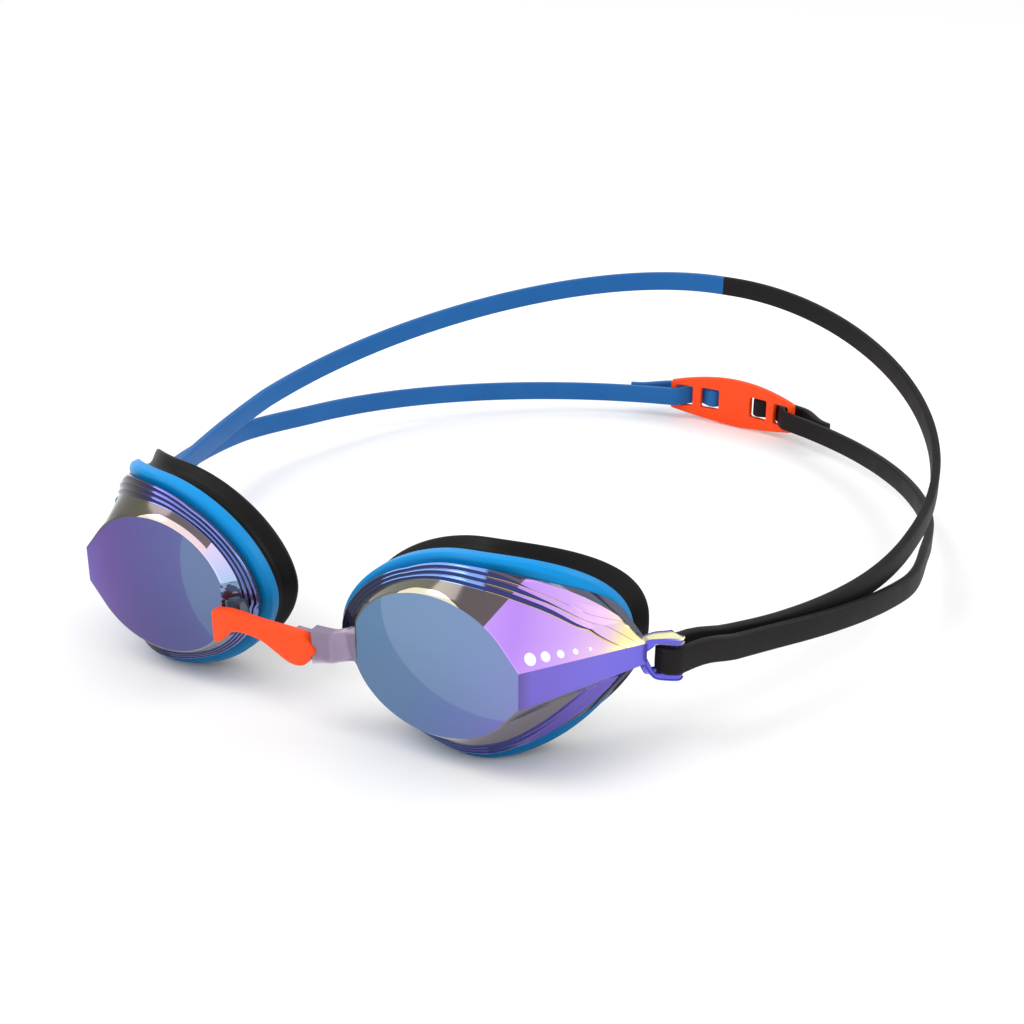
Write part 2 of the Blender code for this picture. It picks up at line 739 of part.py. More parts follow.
def build():
    clear_scene()
    scene = bpy.context.scene
    group = bpy.data.collections.new("swim_goggles")
    cutters = bpy.data.collections.new("cutters")
    scene.collection.children.link(group)
    scene.collection.children.link(cutters)

    # colour, roughness, metallic, transmission
    mirror = ((0.36, 0.40, 0.68), 0.08, 0.6, 0.2)
    ring = ((0.0, 0.27, 0.66), 0.4, 0.0, 0.0)
    seal = ((0.012, 0.012, 0.013), 0.5, 0.0, 0.0)
    orange = ((1.0, 0.10, 0.02), 0.4, 0.0, 0.0)
    blue = ((0.03, 0.15, 0.42), 0.5, 0.0, 0.0)
    black = ((0.014, 0.012, 0.013), 0.6, 0.0, 0.0)

    meshes = {}
    for side, where in ((1, "left"), (-1, "right")):
        # the lens that carries the nose arm is on the wearer's left, at +X
        meshes["lens_" + where] = (lens_node("lens_" + where, side, cutters), mirror)
        for part, make, mat in (("frame_ring_", frame_ring_mesh, ring), ("seal_", seal_mesh, seal)):
            mesh = make(part + where)
            if side < 0:
                mesh = mirrored(mesh, part + where)
            meshes[part + where] = (mesh, mat)
        colour = black if side > 0 else blue
        meshes["strap_upper_" + where] = (upper_strand("strap_upper_" + where, side), colour)
        meshes["strap_lower_" + where] = (lower_strand("strap_lower_" + where, side), colour)
        loop = post_loop("strap_loop_" + where, cutters)
        if side < 0:
            loop = mirrored(loop, "strap_loop_" + where)
        meshes["strap_loop_" + where] = (loop, colour)
        end = TAIL_LEFT if side > 0 else TAIL_RIGHT
        meshes["strap_turn_" + where] = (clip_turn("strap_turn_" + where, side), colour)
        meshes["strap_tail_" + where] = (tail("strap_tail_" + where, side, end), colour)
    meshes["nosepiece"] = (nosepiece_mesh("nosepiece", cutters), orange)
    meshes["strap_clip"] = (clip_mesh("strap_clip", cutters), orange)
    for name, (mesh, look) in meshes.items():
        mesh.name = name
        objects[name] = new_object(name, mesh, paint(name, *look), group)
    settled = settle(objects)

    lift = hinge_point()
    lift.x = 0.0
    pivots = {
        "upper_strap_lift": (lift, ["strap_upper_left", "strap_upper_right"]),
        "lower_strap_lift": (lift, ["strap_lower_left", "strap_lower_right", "strap_clip",
                                    "strap_turn_left", "strap_turn_right"]),
        "left_tail_slide": (LINE.place(clip_s(1, SLOT_OUT), OUTER, LINE.lower(CLIP_MID)),
                            ["strap_tail_left"]),
        "right_tail_slide": (LINE.place(clip_s(-1, SLOT_OUT), OUTER, LINE.lower(CLIP_MID)),
                             ["strap_tail_right"]),
        "nosepiece_slide": (Vector((PEG_X, BRIDGE_FRONT, BRIDGE_TIP_Z)), ["nosepiece"]),
    }
    for name, (place, riders) in pivots.items():
        pivot(name, settled @ place, riders, group)
    return settled


SETTLED = build()
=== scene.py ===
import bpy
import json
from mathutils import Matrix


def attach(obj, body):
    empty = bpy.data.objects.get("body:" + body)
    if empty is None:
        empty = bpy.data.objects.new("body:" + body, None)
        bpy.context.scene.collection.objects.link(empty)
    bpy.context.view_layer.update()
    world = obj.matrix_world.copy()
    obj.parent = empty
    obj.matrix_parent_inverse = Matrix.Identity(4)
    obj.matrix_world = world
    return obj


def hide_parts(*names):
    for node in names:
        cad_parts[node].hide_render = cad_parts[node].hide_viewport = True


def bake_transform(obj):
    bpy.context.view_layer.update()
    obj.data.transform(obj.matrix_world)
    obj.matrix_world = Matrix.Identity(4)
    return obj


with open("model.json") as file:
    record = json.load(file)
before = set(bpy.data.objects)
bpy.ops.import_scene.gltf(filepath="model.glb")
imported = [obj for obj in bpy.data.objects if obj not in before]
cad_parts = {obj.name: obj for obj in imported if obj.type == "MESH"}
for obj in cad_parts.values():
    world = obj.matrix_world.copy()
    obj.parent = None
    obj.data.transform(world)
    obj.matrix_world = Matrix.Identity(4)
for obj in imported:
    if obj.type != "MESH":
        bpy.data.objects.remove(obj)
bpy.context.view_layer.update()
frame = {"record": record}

import json
import math

import bmesh
import bpy
import numpy as np
from mathutils import Matrix, Vector

# ---------------------------------------------------------------- lenses
# Each lens is one clear moulding with a mirror coat: a flat face, a flared wall with three
# stepped ridges, a wing drawn out to the temple, and a fork there that holds the strap's post.
# Shapes are in the wearer's frame, in mm: X to the temple, Y back from the face, Z up.
MM = 0.001
GAP = 0.3                  # between a piece and what it seats on
look = next(m for m in frame["record"]["mounts"] if m["name"] == "lens_face")
tilt = math.atan2(-look["axis"][2], -look["axis"][1])
WORN = (Matrix.Translation((0, look["pos_m"][1], look["pos_m"][2]))
        @ Matrix.Rotation(tilt, 4, "X") @ Matrix.Scale(MM, 4))

FACE_X, FACE_A, FACE_B = 33.6, 18.3, 15.0
FACE_TEMPLE, FACE_TEMPLE_HALF, FACE_NOSE = 52.6, 3.8, 16.2
RIM_X, RIM_NOSE, RIM_TEMPLE, RIM_HALF = 38.2, 29.5, 22.6, 21.5
RIM_POWERS = {"temple_top": 2.24, "nose_top": 1.75, "nose_low": 1.83, "temple_low": 2.18}
WRAP_X, WRAP = 35.8, 0.034
RING_FRONT, RING_WIDE = 5.5, 4.7
LENS_LAND, WALL = 2.0, 1.6
SKIRT_DEEP, SKIRT_WALL = 4.6, 1.3
TIP_OUT, TIP_IN, TIP_IN_BACK, TIP_HALF = 4.2, 3.0, 1.6, 2.2
EYELET_Z = -2.3
WING_SPREAD = 40.0
PINCH = 0.5                # under 1 draws the wing in to a hollow curve above and below its tip
POST = (68.6, 30.3)
POST_R = 1.0
LEAVE = Vector((0.32, 0.95, 0.0)).normalized()
PRONG, PRONG_WIDE = 1.6, 4.8
BAND_T, BAND_H, BAND_EDGE = 2.0, 5.2, 0.55
# where each ridge starts across the wall, how far it steps out, and where it ends at the temple
RIDGES = ((0.665, 0.85, 62.5), (0.775, 1.55, 58.5), (0.885, 2.2, 55.0))
LOW_RIDGES = 0.55          # how far the ridges step out below, as a share of above
DOTS = 5


def srgb(r, g, b):
    """A colour given in 0-255 display values, as the shader wants it."""
    def lin(c):
        c = c / 255
        return c / 12.92 if c <= 0.04045 else ((c + 0.055) / 1.055) ** 2.4
    return (lin(r), lin(g), lin(b), 1.0)


def ease(t):
    t = min(1.0, max(0.0, t))
    return t * t * (3 - 2 * t)


class Grade:
    """A shader value that varies over a piece; arithmetic on it adds Math nodes."""

    def __init__(self, finish, socket):
        self.finish, self.socket = finish, socket

    def math(self, operation, *values):
        made = self.finish.node("ShaderNodeMath", {"operation": operation},
                                dict(enumerate(values)))
        return Grade(self.finish, made.outputs[0])

    def __add__(self, other): return self.math("ADD", self, other)
    def __radd__(self, other): return self.math("ADD", other, self)
    def __sub__(self, other): return self.math("SUBTRACT", self, other)
    def __rsub__(self, other): return self.math("SUBTRACT", other, self)
    def __mul__(self, other): return self.math("MULTIPLY", self, other)
    def __rmul__(self, other): return self.math("MULTIPLY", other, self)
    def __truediv__(self, other): return self.math("DIVIDE", self, other)
    def __lt__(self, other): return self.math("LESS_THAN", self, other)
    def __gt__(self, other): return self.math("GREATER_THAN", self, other)

    def between(self, low, high):
        return (self > low) * (self < high)

    def rise(self, low, high):
        """0 below low, 1 above high, and smooth between."""
        made = self.finish.node("ShaderNodeMapRange", {"interpolation_type": "SMOOTHSTEP"},
                                {"Value": self, "From Min": low, "From Max": high})
        return Grade(self.finish, made.outputs[0])


class Finish:
    """One material and the nodes that paint it."""

    def __init__(self, name, **constants):
        self.material = bpy.data.materials.new(name)
        self.material.use_nodes = True
        self.tree = self.material.node_tree
        self.shader = self.tree.nodes["Principled BSDF"]
        for socket, value in constants.items():
            self.shader.inputs[socket.replace("_", " ")].default_value = value

    def node(self, kind, settings=None, sockets=None):
        made = self.tree.nodes.new(kind)
        for key, value in (settings or {}).items():
            if key == "stops":
                ramp = made.color_ramp
                while len(ramp.elements) > 1:
                    ramp.elements.remove(ramp.elements[-1])
                ramp.elements[0].position, ramp.elements[0].color = value[0]
                for place, colour in value[1:]:
                    ramp.elements.new(place).color = colour
            else:
                setattr(made, key, value)
        for key, value in (sockets or {}).items():
            self.feed(made.inputs[key], value)
        return made

    def feed(self, socket, value):
        if isinstance(value, Grade):
            value = value.socket
        if isinstance(value, bpy.types.NodeSocket):
            self.tree.links.new(value, socket)
        else:
            socket.default_value = value

    def value(self, name):
        made = self.node("ShaderNodeAttribute", {"attribute_name": name})
        return Grade(self, made.outputs["Fac"])

    def seat(self):
        """The point in the wearer's frame, in mm, as three values."""
        made = self.node("ShaderNodeAttribute", {"attribute_name": "seat"})
        parts = self.node("ShaderNodeSeparateXYZ", None, {0: made.outputs["Vector"]})
        return [Grade(self, out) for out in parts.outputs]

    def facing(self):
        """The direction that the surface faces, as three values."""
        normal = self.node("ShaderNodeNewGeometry").outputs["Normal"]
        parts = self.node("ShaderNodeSeparateXYZ", None, {0: normal})
        return [Grade(self, out) for out in parts.outputs]

    def ramp(self, value, low, high, stops):
        """A colour that follows a value; stops are given in the value's own unit."""
        stops = [((place - low) / (high - low), colour) for place, colour in stops]
        made = self.node("ShaderNodeValToRGB", {"stops": stops}, {0: (value - low) / (high - low)})
        return made.outputs[0]

    def mix(self, amount, under, over):
        made = self.node("ShaderNodeMix", {"data_type": "RGBA"}, {0: amount, 6: under, 7: over})
        return made.outputs[2]

    def noise(self, scale, detail=2.0, stretch=(1, 1, 1)):
        place = self.node("ShaderNodeTexCoord").outputs["Object"]
        if stretch != (1, 1, 1):
            place = self.node("ShaderNodeMapping", None, {0: place, 3: stretch}).outputs[0]
        made = self.node("ShaderNodeTexNoise", None,
                         {"Vector": place, "Scale": scale, "Detail": detail})
        return Grade(self, made.outputs[0])

    def set(self, socket, value):
        self.feed(self.shader.inputs[socket], value)

    def bump(self, height, strength, distance):
        made = self.node("ShaderNodeBump", None,
                         {"Height": height, "Strength": strength, "Distance": distance})
        self.set("Normal", made.outputs[0])


class Shell:
    """The points, faces and painted values of one piece, before it becomes a mesh."""

    def __init__(self):
        self.points, self.faces, self.reach, self.zone = [], [], [], []

    def loft(self, rings, zone=0, reach=None, closed=False, zones=None, caps=True):
        """Skin between rings that have the same number of points."""
        base, count = len(self.points), len(rings[0])
        for i, ring in enumerate(rings):
            self.points += [Vector(p) for p in ring]
            self.reach += [reach[i] if reach else 0.0] * count
        for i in range(len(rings) if closed else len(rings) - 1):
            a, b = base + i * count, base + (i + 1) % len(rings) * count
            for k in range(count):
                n = (k + 1) % count
                self.faces.append((a + k, a + n, b + n, b + k))
                self.zone.append(zones(i, k) if zones else zone)
        if caps and not closed:
            for i in (0, len(rings) - 1):
                self.faces.append(tuple(base + i * count + k for k in range(count)))
                self.zone.append(zones(i - 1 if i else -1, 0) if zones else zone)

    def make(self, name, side=1, sharp=30.0):
        mesh = bpy.data.meshes.new(name)
        points = [WORN @ Vector((p.x * side, p.y, p.z)) for p in self.points]
        mesh.from_pydata(points, [], self.faces)
        seat = mesh.attributes.new("seat", "FLOAT_VECTOR", "POINT")
        seat.data.foreach_set("vector", [c for p in self.points for c in p])
        reach = mesh.attributes.new("reach", "FLOAT", "POINT")
        reach.data.foreach_set("value", self.reach)
        zone = mesh.attributes.new("zone", "FLOAT", "FACE")
        zone.data.foreach_set("value", [float(z) for z in self.zone])
        shell = bmesh.new()
        shell.from_mesh(mesh)
        bmesh.ops.recalc_face_normals(shell, faces=shell.faces)
        shell.to_mesh(mesh)
        shell.free()
        mesh.shade_smooth()
        mesh.set_sharp_from_angle(angle=math.radians(sharp))
        obj = bpy.data.objects.new(name, mesh)
        bpy.context.scene.collection.objects.link(obj)
        return obj


def face_outline(corner=34, arc=52, edge=8):
    """Points round the lens face, starting at the top of the temple edge, anticlockwise."""
    a, b = (FACE_TEMPLE - FACE_X) / FACE_A, FACE_TEMPLE_HALF / FACE_B
    start = math.atan2(b, a) + math.acos(1 / math.hypot(a, b))
    stop = math.acos((FACE_NOSE - FACE_X) / FACE_A)
    touch = (FACE_X + FACE_A * math.cos(start), FACE_B * math.sin(start))
    top = [tuple(c + (t - c) * i / corner for c, t in zip((FACE_TEMPLE, FACE_TEMPLE_HALF), touch))
           for i in range(corner)]
    for i in range(arc + 1):
        t = start + (stop - start) * i / arc
        top.append((FACE_X + FACE_A * math.cos(t), FACE_B * math.sin(t)))
    half = top[-1][1]
    nose = [(FACE_NOSE, half * (1 - 2 * i / edge)) for i in range(1, edge)]
    temple = [(FACE_TEMPLE, FACE_TEMPLE_HALF * (2 * i / edge - 1)) for i in range(1, edge)]
    return top + nose + [(x, -z) for x, z in reversed(top)] + temple


FACE = face_outline()
ANGLES = [math.atan2(z, x - RIM_X) for x, z in FACE]
TEMPLE_EDGE = math.atan2(FACE_TEMPLE_HALF, FACE_TEMPLE - RIM_X)


def rim_point(angle, grow, y):
    """A point on the eye rim, `grow` outside the ring's outline and y behind the face."""
    side = "temple" if math.cos(angle) > 0 else "nose"
    half = "top" if math.sin(angle) > 0 else "low"
    power = RIM_POWERS[side + "_" + half]
    reach = RIM_TEMPLE if side == "temple" else RIM_NOSE
    c, s = abs(math.cos(angle)) / reach, abs(math.sin(angle)) / RIM_HALF
    r = (c ** power + s ** power) ** (-1 / power) + grow
    x = RIM_X + r * math.cos(angle)
    back = WRAP * max(0.0, min(x, RIM_X + RIM_TEMPLE) - WRAP_X) ** 2
    return Vector((x, y + back, r * math.sin(angle)))


def wing_ring(grow, y, tip_grow, tip_y, squeeze, late):
    """The rim outline, drawn out and pinched at the temple to make the wing."""
    ring = []
    for angle in ANGLES:
        t = min(1.0, max(0.0, (abs(angle) - TEMPLE_EDGE) / math.radians(WING_SPREAD)))
        w = (1 - t) ** 2 * (1 + 2 * t)
        lift = max(-1.0, min(1.0, angle / TEMPLE_EDGE))
        point = rim_point(angle * (1 - squeeze * w ** PINCH), grow + (tip_grow - grow) * w,
                          y + (tip_y - y) * w ** late)
        point.z += (TIP_HALF * lift + EYELET_Z / 2) * w * squeeze
        ring.append(point)
    return ring


def rim_ring(grow, y):
    return [rim_point(a, grow, y) for a in ANGLES]


def inset_face(inset, y):
    return [Vector((x - inset * math.cos(a), y, z - inset * math.sin(a)))
            for (x, z), a in zip(FACE, ANGLES)]


def lens_rings():
    """The lens's rings from the middle of its face out to the wing, and back in to the skirt."""
    base = RING_FRONT - GAP
    face = inset_face(0.0, 0.14)
    outer = wing_ring(-LENS_LAND - 1.1, base - 1.2, TIP_OUT, RING_FRONT, 1.0, 2)
    rings, reach = [inset_face(0.34, 0.0), face], [0.0, 0.02]
    parts = [(0.12, 0), (0.25, 0), (0.38, 0), (0.52, 0)]
    for k, (start, out, _) in enumerate(RIDGES):
        before = RIDGES[k - 1][1] - 0.12 if k else 0.0
        parts += [(start - 0.012, before), (start, before), (start + 0.018, out),
                  (start + 0.03, out), (start + 0.07, out - 0.06)]
    for part, out in parts + [(1.0, RIDGES[-1][1] - 0.2)]:
        ring = []
        k = min(2, sum(1 for r in RIDGES if part > r[0] + 0.11))
        for f, w, angle in zip(face, outer, ANGLES):
            point = f.lerp(w, part)
            depth = max(0.0, abs(math.sin(angle)) - 0.25) / 0.75
            depth = max(depth, 0.8 * ease(-1.4 * math.cos(angle)))
            depth *= ease((RIDGES[k][2] - point.x) / 12) * (1.0 if angle > 0 else LOW_RIDGES)
            ring.append(point + Vector((math.cos(angle), 0, math.sin(angle))) * out * depth)
        rings.append(ring)
        reach.append(part)
    rings.append(wing_ring(-LENS_LAND, base - 0.6, TIP_IN, RING_FRONT + TIP_IN_BACK, 1.0, 3))
    rings.append(wing_ring(-LENS_LAND, base, 0.6, base, 0.0, 1))
    skirt = -RING_WIDE - GAP
    rings += [rim_ring(skirt, base), rim_ring(skirt, base + SKIRT_DEEP),
              rim_ring(skirt - SKIRT_WALL, base + SKIRT_DEEP),
              rim_ring(skirt - SKIRT_WALL, base), inset_face(WALL, WALL)]
    reach += [1.02, 1.05, 1.1, 1.2, 1.25, 1.3, 1.4]
    return rings, reach


def wing_dots():
    """Centres and sizes of a row of dots that runs out along the wing's upper panel."""
    rings, reach = lens_rings()
    k = min(range(len(ANGLES)), key=lambda i: abs(ANGLES[i] - 0.42))
    edge, tip = rings[1][k], rings[reach.index(1.0)][k]
    return [(edge.lerp(tip, 0.13 + 0.115 * i), 1.25 - 0.22 * i) for i in range(DOTS)]


def smooth_path(points, steps, closed=False):
    """A Catmull-Rom curve through points of any size."""
    points = [np.array(p, float) for p in points]
    n = len(points)
    out = []
    for i in range(n if closed else n - 1):
        if closed:
            a, b, c, d = (points[(i + k) % n] for k in (-1, 0, 1, 2))
        else:
            a, b, c, d = (points[min(n - 1, max(0, i + k))] for k in (-1, 0, 1, 2))
        for j in range(steps):
            t = j / steps
            out.append(0.5 * (2 * b + (c - a) * t + (2 * a - 5 * b + 4 * c - d) * t * t
                              + (3 * b - a - 3 * c + d) * t ** 3))
    if not closed:
        out.append(points[-1])
    return out


def fork_prong(shell, up):
    """One arm of the temple fork, from inside the wing's tip out over the post."""
    across = Vector((LEAVE.y, -LEAVE.x, 0))
    inner = BAND_H / 2 + GAP + 0.1
    post = Vector((*POST, EYELET_Z))
    back = RING_FRONT + TIP_IN_BACK / 2
    root = rim_point(0.0, (TIP_OUT + TIP_IN) / 2 - 0.9, back - 0.9)
    root.z += EYELET_Z / 2
    level = Vector((root.x, root.y, EYELET_Z))
    stations = [(*root.lerp(post, -0.1), -0.6, 1.6, 1.3),
                (*root.lerp(post, 0.06), 0.0, 2.5, 1.9),
                (*root.lerp(level, 0.5).lerp(post, 0.2), 1.5, 3.7, 2.6),
                (*level.lerp(post, 0.36), inner, inner + PRONG * 0.85, PRONG_WIDE * 0.68),
                (*level.lerp(post, 0.66), inner, inner + PRONG, PRONG_WIDE * 0.9),
                (*post, inner, inner + PRONG, PRONG_WIDE),
                (*(post + LEAVE * 1.4), inner + 0.1, inner + PRONG - 0.1, PRONG_WIDE * 0.8)]
    rings = []
    for x, y, z, low, high, wide in smooth_path(stations, 6):
        centre, mid, half = Vector((x, y, z)), up * (low + high) / 2, (high - low) / 2
        cut = min(0.3, half * 0.4)
        section = []
        for sx, sz in ((-1, -1), (1, -1), (1, 1), (-1, 1)):
            first = (wide / 2 - cut, half) if sx * sz > 0 else (wide / 2, half - cut)
            second = (wide / 2, half - cut) if sx * sz > 0 else (wide / 2 - cut, half)
            section += [(sx * first[0], sz * first[1]), (sx * second[0], sz * second[1])]
        rings.append([centre + across * u + Vector((0, 0, mid + v)) for u, v in section])
    shell.loft(rings, zone=5, reach=[i / len(rings) for i in range(len(rings))])


BRIDGE_FRONT, BRIDGE_T = -3.2, 2.3
BRIDGE_TIP, BRIDGE_TIP_Z = 8.8, -2.4
PEG_X, PEG_HALF, LUG_X = 4.6, (1.0, 1.3), 14.2


def nose_arm(shell):
    """The clear arm on one lens: a vee-notched front plate, waisted, running back to the lens."""
    tip = BRIDGE_TIP
    behind = BRIDGE_FRONT + BRIDGE_T + GAP
    # x, front y, back y, middle z, height
    spine = [(tip + 0.2, BRIDGE_FRONT + 0.6, behind + 1.4, BRIDGE_TIP_Z, 7.5),
             (tip + 2.4, BRIDGE_FRONT + 1.3, behind + 2.0, BRIDGE_TIP_Z + 0.35, 6.7),
             (tip + 4.6, BRIDGE_FRONT + 2.5, behind + 3.0, BRIDGE_TIP_Z + 0.95, 6.7),
             (FACE_NOSE - 0.6, 0.5, behind + 4.0, BRIDGE_TIP_Z + 1.5, 7.8),
             (FACE_NOSE + 1.4, 1.0, behind + 4.2, BRIDGE_TIP_Z + 1.7, 9.0)]
    rings = []
    for x, front, back, mid, tall in smooth_path(spine, 5):
        h, cut = tall / 2, 0.8
        ring = [(front + 0.25, -h + cut), (front, -h + cut + 0.4), (front, h - cut - 0.4),
                (front + 0.25, h - cut), (front + cut, h - 0.1), (back - 0.3, h), (back, h - 0.3),
                (back, -h + 0.3), (back - 0.3, -h), (front + cut, -h + 0.1)]
        points = []
        for y, z in ring:
            # the near end is cut to a vee that the nosepiece's point drops into
            near = max(0.0, 1 - (x - tip) / 2.6)
            vee = (abs(z) / h) * -2.9 * near + 0.55 * near
            points.append(Vector((x + vee, y, mid + z)))
        rings.append(points)
    shell.loft(rings, zone=6, reach=[i / len(rings) for i in range(len(rings))])
    slab = [(PEG_X - 2.2, 2.4), (tip + 1.0, 2.4), (tip + 1.0, -2.4), (PEG_X - 2.2, -2.4)]
    shell.loft([[Vector((x, y, BRIDGE_TIP_Z + z)) for x, z in slab]
                for y in (behind, behind + 1.2)], zone=6, reach=[0.5, 0.5])
    wide, high = PEG_HALF
    peg = [(PEG_X - wide, high), (PEG_X + wide, high), (PEG_X + wide, -high), (PEG_X - wide, -high)]
    shell.loft([[Vector((x, y, BRIDGE_TIP_Z + z)) for x, z in peg]
                for y in (BRIDGE_FRONT + 1.1 + GAP, behind + 0.6)], zone=6, reach=[0.5, 0.5])


def mirror_finish(name, tone):
    """Mirror-coated polycarbonate whose colour drifts over the face, wall, ridges and wing as
    painted reflection and shade.
    """
    coat = Finish(name, Coat_Weight=0.2, Coat_Roughness=0.03, IOR=1.45, Specular_IOR_Level=0.3)
    x, y, z = coat.seat()
    reach, zone = coat.value("reach"), coat.value("zone")
    up = z > 0.0
    # face: a painted reflection that drifts from one side to the other, and the paler oval of the
    # skirt seen through it
    face = coat.ramp(x + z * tone["lean"], 8, 60, tone["face"])
    ox, oz, oa, ob = tone["oval"]
    ring = ((x - ox) / oa) * ((x - ox) / oa) + ((z - oz) / ob) * ((z - oz) / ob)
    face = coat.mix((1.0 - ring.rise(0.985, 1.015)) * tone["oval_gain"], face, tone["oval_tint"])
    # wall: painted shade of the dark inside seen through it over the nose and middle, painted
    # reflections that differ above and below, then a bright painted reflection on the panel past a
    # slanted edge
    wall = coat.mix(up, coat.ramp(x, 10, 75, tone["wall_low"]),
                    coat.ramp(x, 10, 75, tone["wall_top"]))
    px, pz, dx, dz = tone["panel_edge"]
    past = ((x - px) * dz - (z - pz) * dx).rise(-0.12, 0.12)
    panel = coat.ramp(x + z * 0.25, 10, 75, tone["panel"])
    wall = coat.mix(past * up * tone["panel_on"], wall, panel)
    # painted highlight: a pale crescent on the upper wall just above the face
    cx0, cx1, high = tone["crescent"]
    arc = (x - cx0).rise(0, 4) * (cx1 - x).rise(0, 6)
    wall = coat.mix((reach < arc * high) * up, wall, coat.ramp(x, 10, 60, tone["crescent_highlight"]))
    # painted reflection at the nose side: a pale patch high up, and shards of dark and light
    # reflection below it
    if "nose_reflection" in tone:
        bright, dark = tone["nose_reflection"]
        reflection_patch = (x < 20.3) * (z > 4.6)
        wall = coat.mix(reflection_patch, wall, coat.ramp(z, 0, 16, bright))
        reflection_shards = coat.noise(420, 1.0, (1, 1, 2.2)) > 0.5
        wall = coat.mix((x < 19.0) * z.between(-8, 4.6), wall, coat.mix(reflection_shards, *dark))
    # ridges: painted reflections on the treads with bands of painted highlight, painted shade in
    # the dark grooves that run out to points, and a thin painted gold reflection along each step
    tread_reflection = coat.mix(up, coat.ramp(x, 10, 75, tone["tread_low"]),
                     coat.ramp(x, 10, 75, tone["tread_top"]))
    tread_reflection = coat.mix(past * up * tone["panel_on"], tread_reflection, panel)
    colour = coat.mix(reach > RIDGES[0][0] - 0.02, wall, tread_reflection)
    bent = reach - 0.17 * x.rise(55.0, 64.0)
    for start, _, end in RIDGES:
        width = (end - x).rise(0, 14) * (0.014 + 0.03 * x.rise(*tone["groove_wide"]))
        groove_shade = (bent > start - 0.004) * (bent < start + width)
        colour = coat.mix(groove_shade, colour, coat.ramp(x, 10, 75, tone["groove_shade"]))
        gold_reflection = ((bent > start - 0.014) * (bent < start - 0.004)
                  * (x > tone["gold_reflection_from"]) * (x < end - 1.0))
        colour = coat.mix(gold_reflection * up, colour, srgb(232, 196, 96))
    # side band: painted reflection
    band = coat.ramp(x, 50, 75, tone["band"])
    colour = coat.mix(zone.between(2.5, 3.5), colour, band)
    colour = coat.mix(zone < 0.5, colour, face)
    # painted highlight: the fork is paler on its upward faces
    top_highlight = coat.facing()[2].rise(0.5, 0.7) * (z > 0.0)
    colour = coat.mix(zone.between(4.5, 5.5), colour, coat.mix(top_highlight, tone["fork"], tone["fork_top_highlight"]))
    colour = coat.mix(zone.between(3.5, 4.5), colour, srgb(88, 92, 110))
    # a row of shrinking dots on the wing
    for centre, size in wing_dots() if tone["panel_on"] else []:
        away = sum((axis - c) * (axis - c) for axis, c in zip((x, y, z), centre))
        dot = (away < size * size) * zone.between(0.5, 1.5)
        colour = coat.mix(dot, colour, srgb(250, 250, 252))
    coat.set("Base Color", colour)
    coat.set("Metallic", 0.45 + 0.3 * (zone < 1.5))
    coat.set("Roughness", 0.1 + 0.08 * coat.noise(160, 3.0))
    coat.bump(coat.noise(90, 1.0), 0.05, 0.0002)
    return coat


# The painted reflections, highlights and shade of each lens's mirror coat.
LEFT_TONE = {
    "lean": -0.5,
    "face": [(12, srgb(84, 118, 152)), (32, srgb(94, 124, 164)), (46, srgb(106, 120, 176)),
        (58, srgb(118, 106, 186))],
    "oval": (44, 10, 21.5, 17.5), "oval_gain": 0.34, "oval_tint": srgb(138, 160, 190),
    "wall_top": [(14, srgb(70, 76, 92)), (22, srgb(104, 102, 88)), (30, srgb(112, 110, 96)),
        (40, srgb(92, 84, 84)), (52, srgb(104, 90, 100))],
    "wall_low": [(14, srgb(72, 96, 136)), (30, srgb(96, 122, 160)), (38, srgb(186, 180, 160)),
        (42, srgb(126, 116, 122)), (60, srgb(128, 118, 124)), (66, srgb(150, 142, 120))],
    "panel_edge": (44.9, 11.2, 3.2, 6.3), "panel_on": 1.0,
    "panel": [(44, srgb(206, 164, 250)), (52, srgb(190, 142, 246)), (57, srgb(214, 172, 250)),
        (60.5, srgb(238, 200, 236)), (62.5, srgb(255, 240, 170)), (70, srgb(255, 255, 176))],
    "crescent": (26.0, 40.0, 0.2),
    "crescent_highlight": [(20, srgb(236, 228, 196)), (40, srgb(236, 226, 200))],
    "tread_top": [(14, srgb(52, 56, 84)), (20.5, srgb(60, 66, 100)), (21.5, srgb(140, 176, 246)),
        (42.3, srgb(128, 166, 240)), (43, srgb(96, 82, 92)), (50, srgb(108, 88, 104))],
    "tread_low": [(14, srgb(70, 100, 150)), (34, srgb(86, 120, 170)), (40, srgb(112, 98, 158)),
        (50, srgb(104, 84, 186)), (60, srgb(116, 96, 200)), (68, srgb(130, 122, 118))],
    "groove_shade": [(14, srgb(30, 34, 54)), (40, srgb(40, 52, 104)), (60, srgb(62, 58, 128))],
    "gold_reflection_from": 43.0,
    "groove_wide": (42.8, 43.2),
    "band": [(52.6, srgb(98, 84, 160)), (53.6, srgb(112, 96, 196)), (60, srgb(116, 104, 214)),
        (68, srgb(104, 98, 222))],
    "fork": srgb(104, 98, 222), "fork_top_highlight": srgb(240, 236, 178),
}
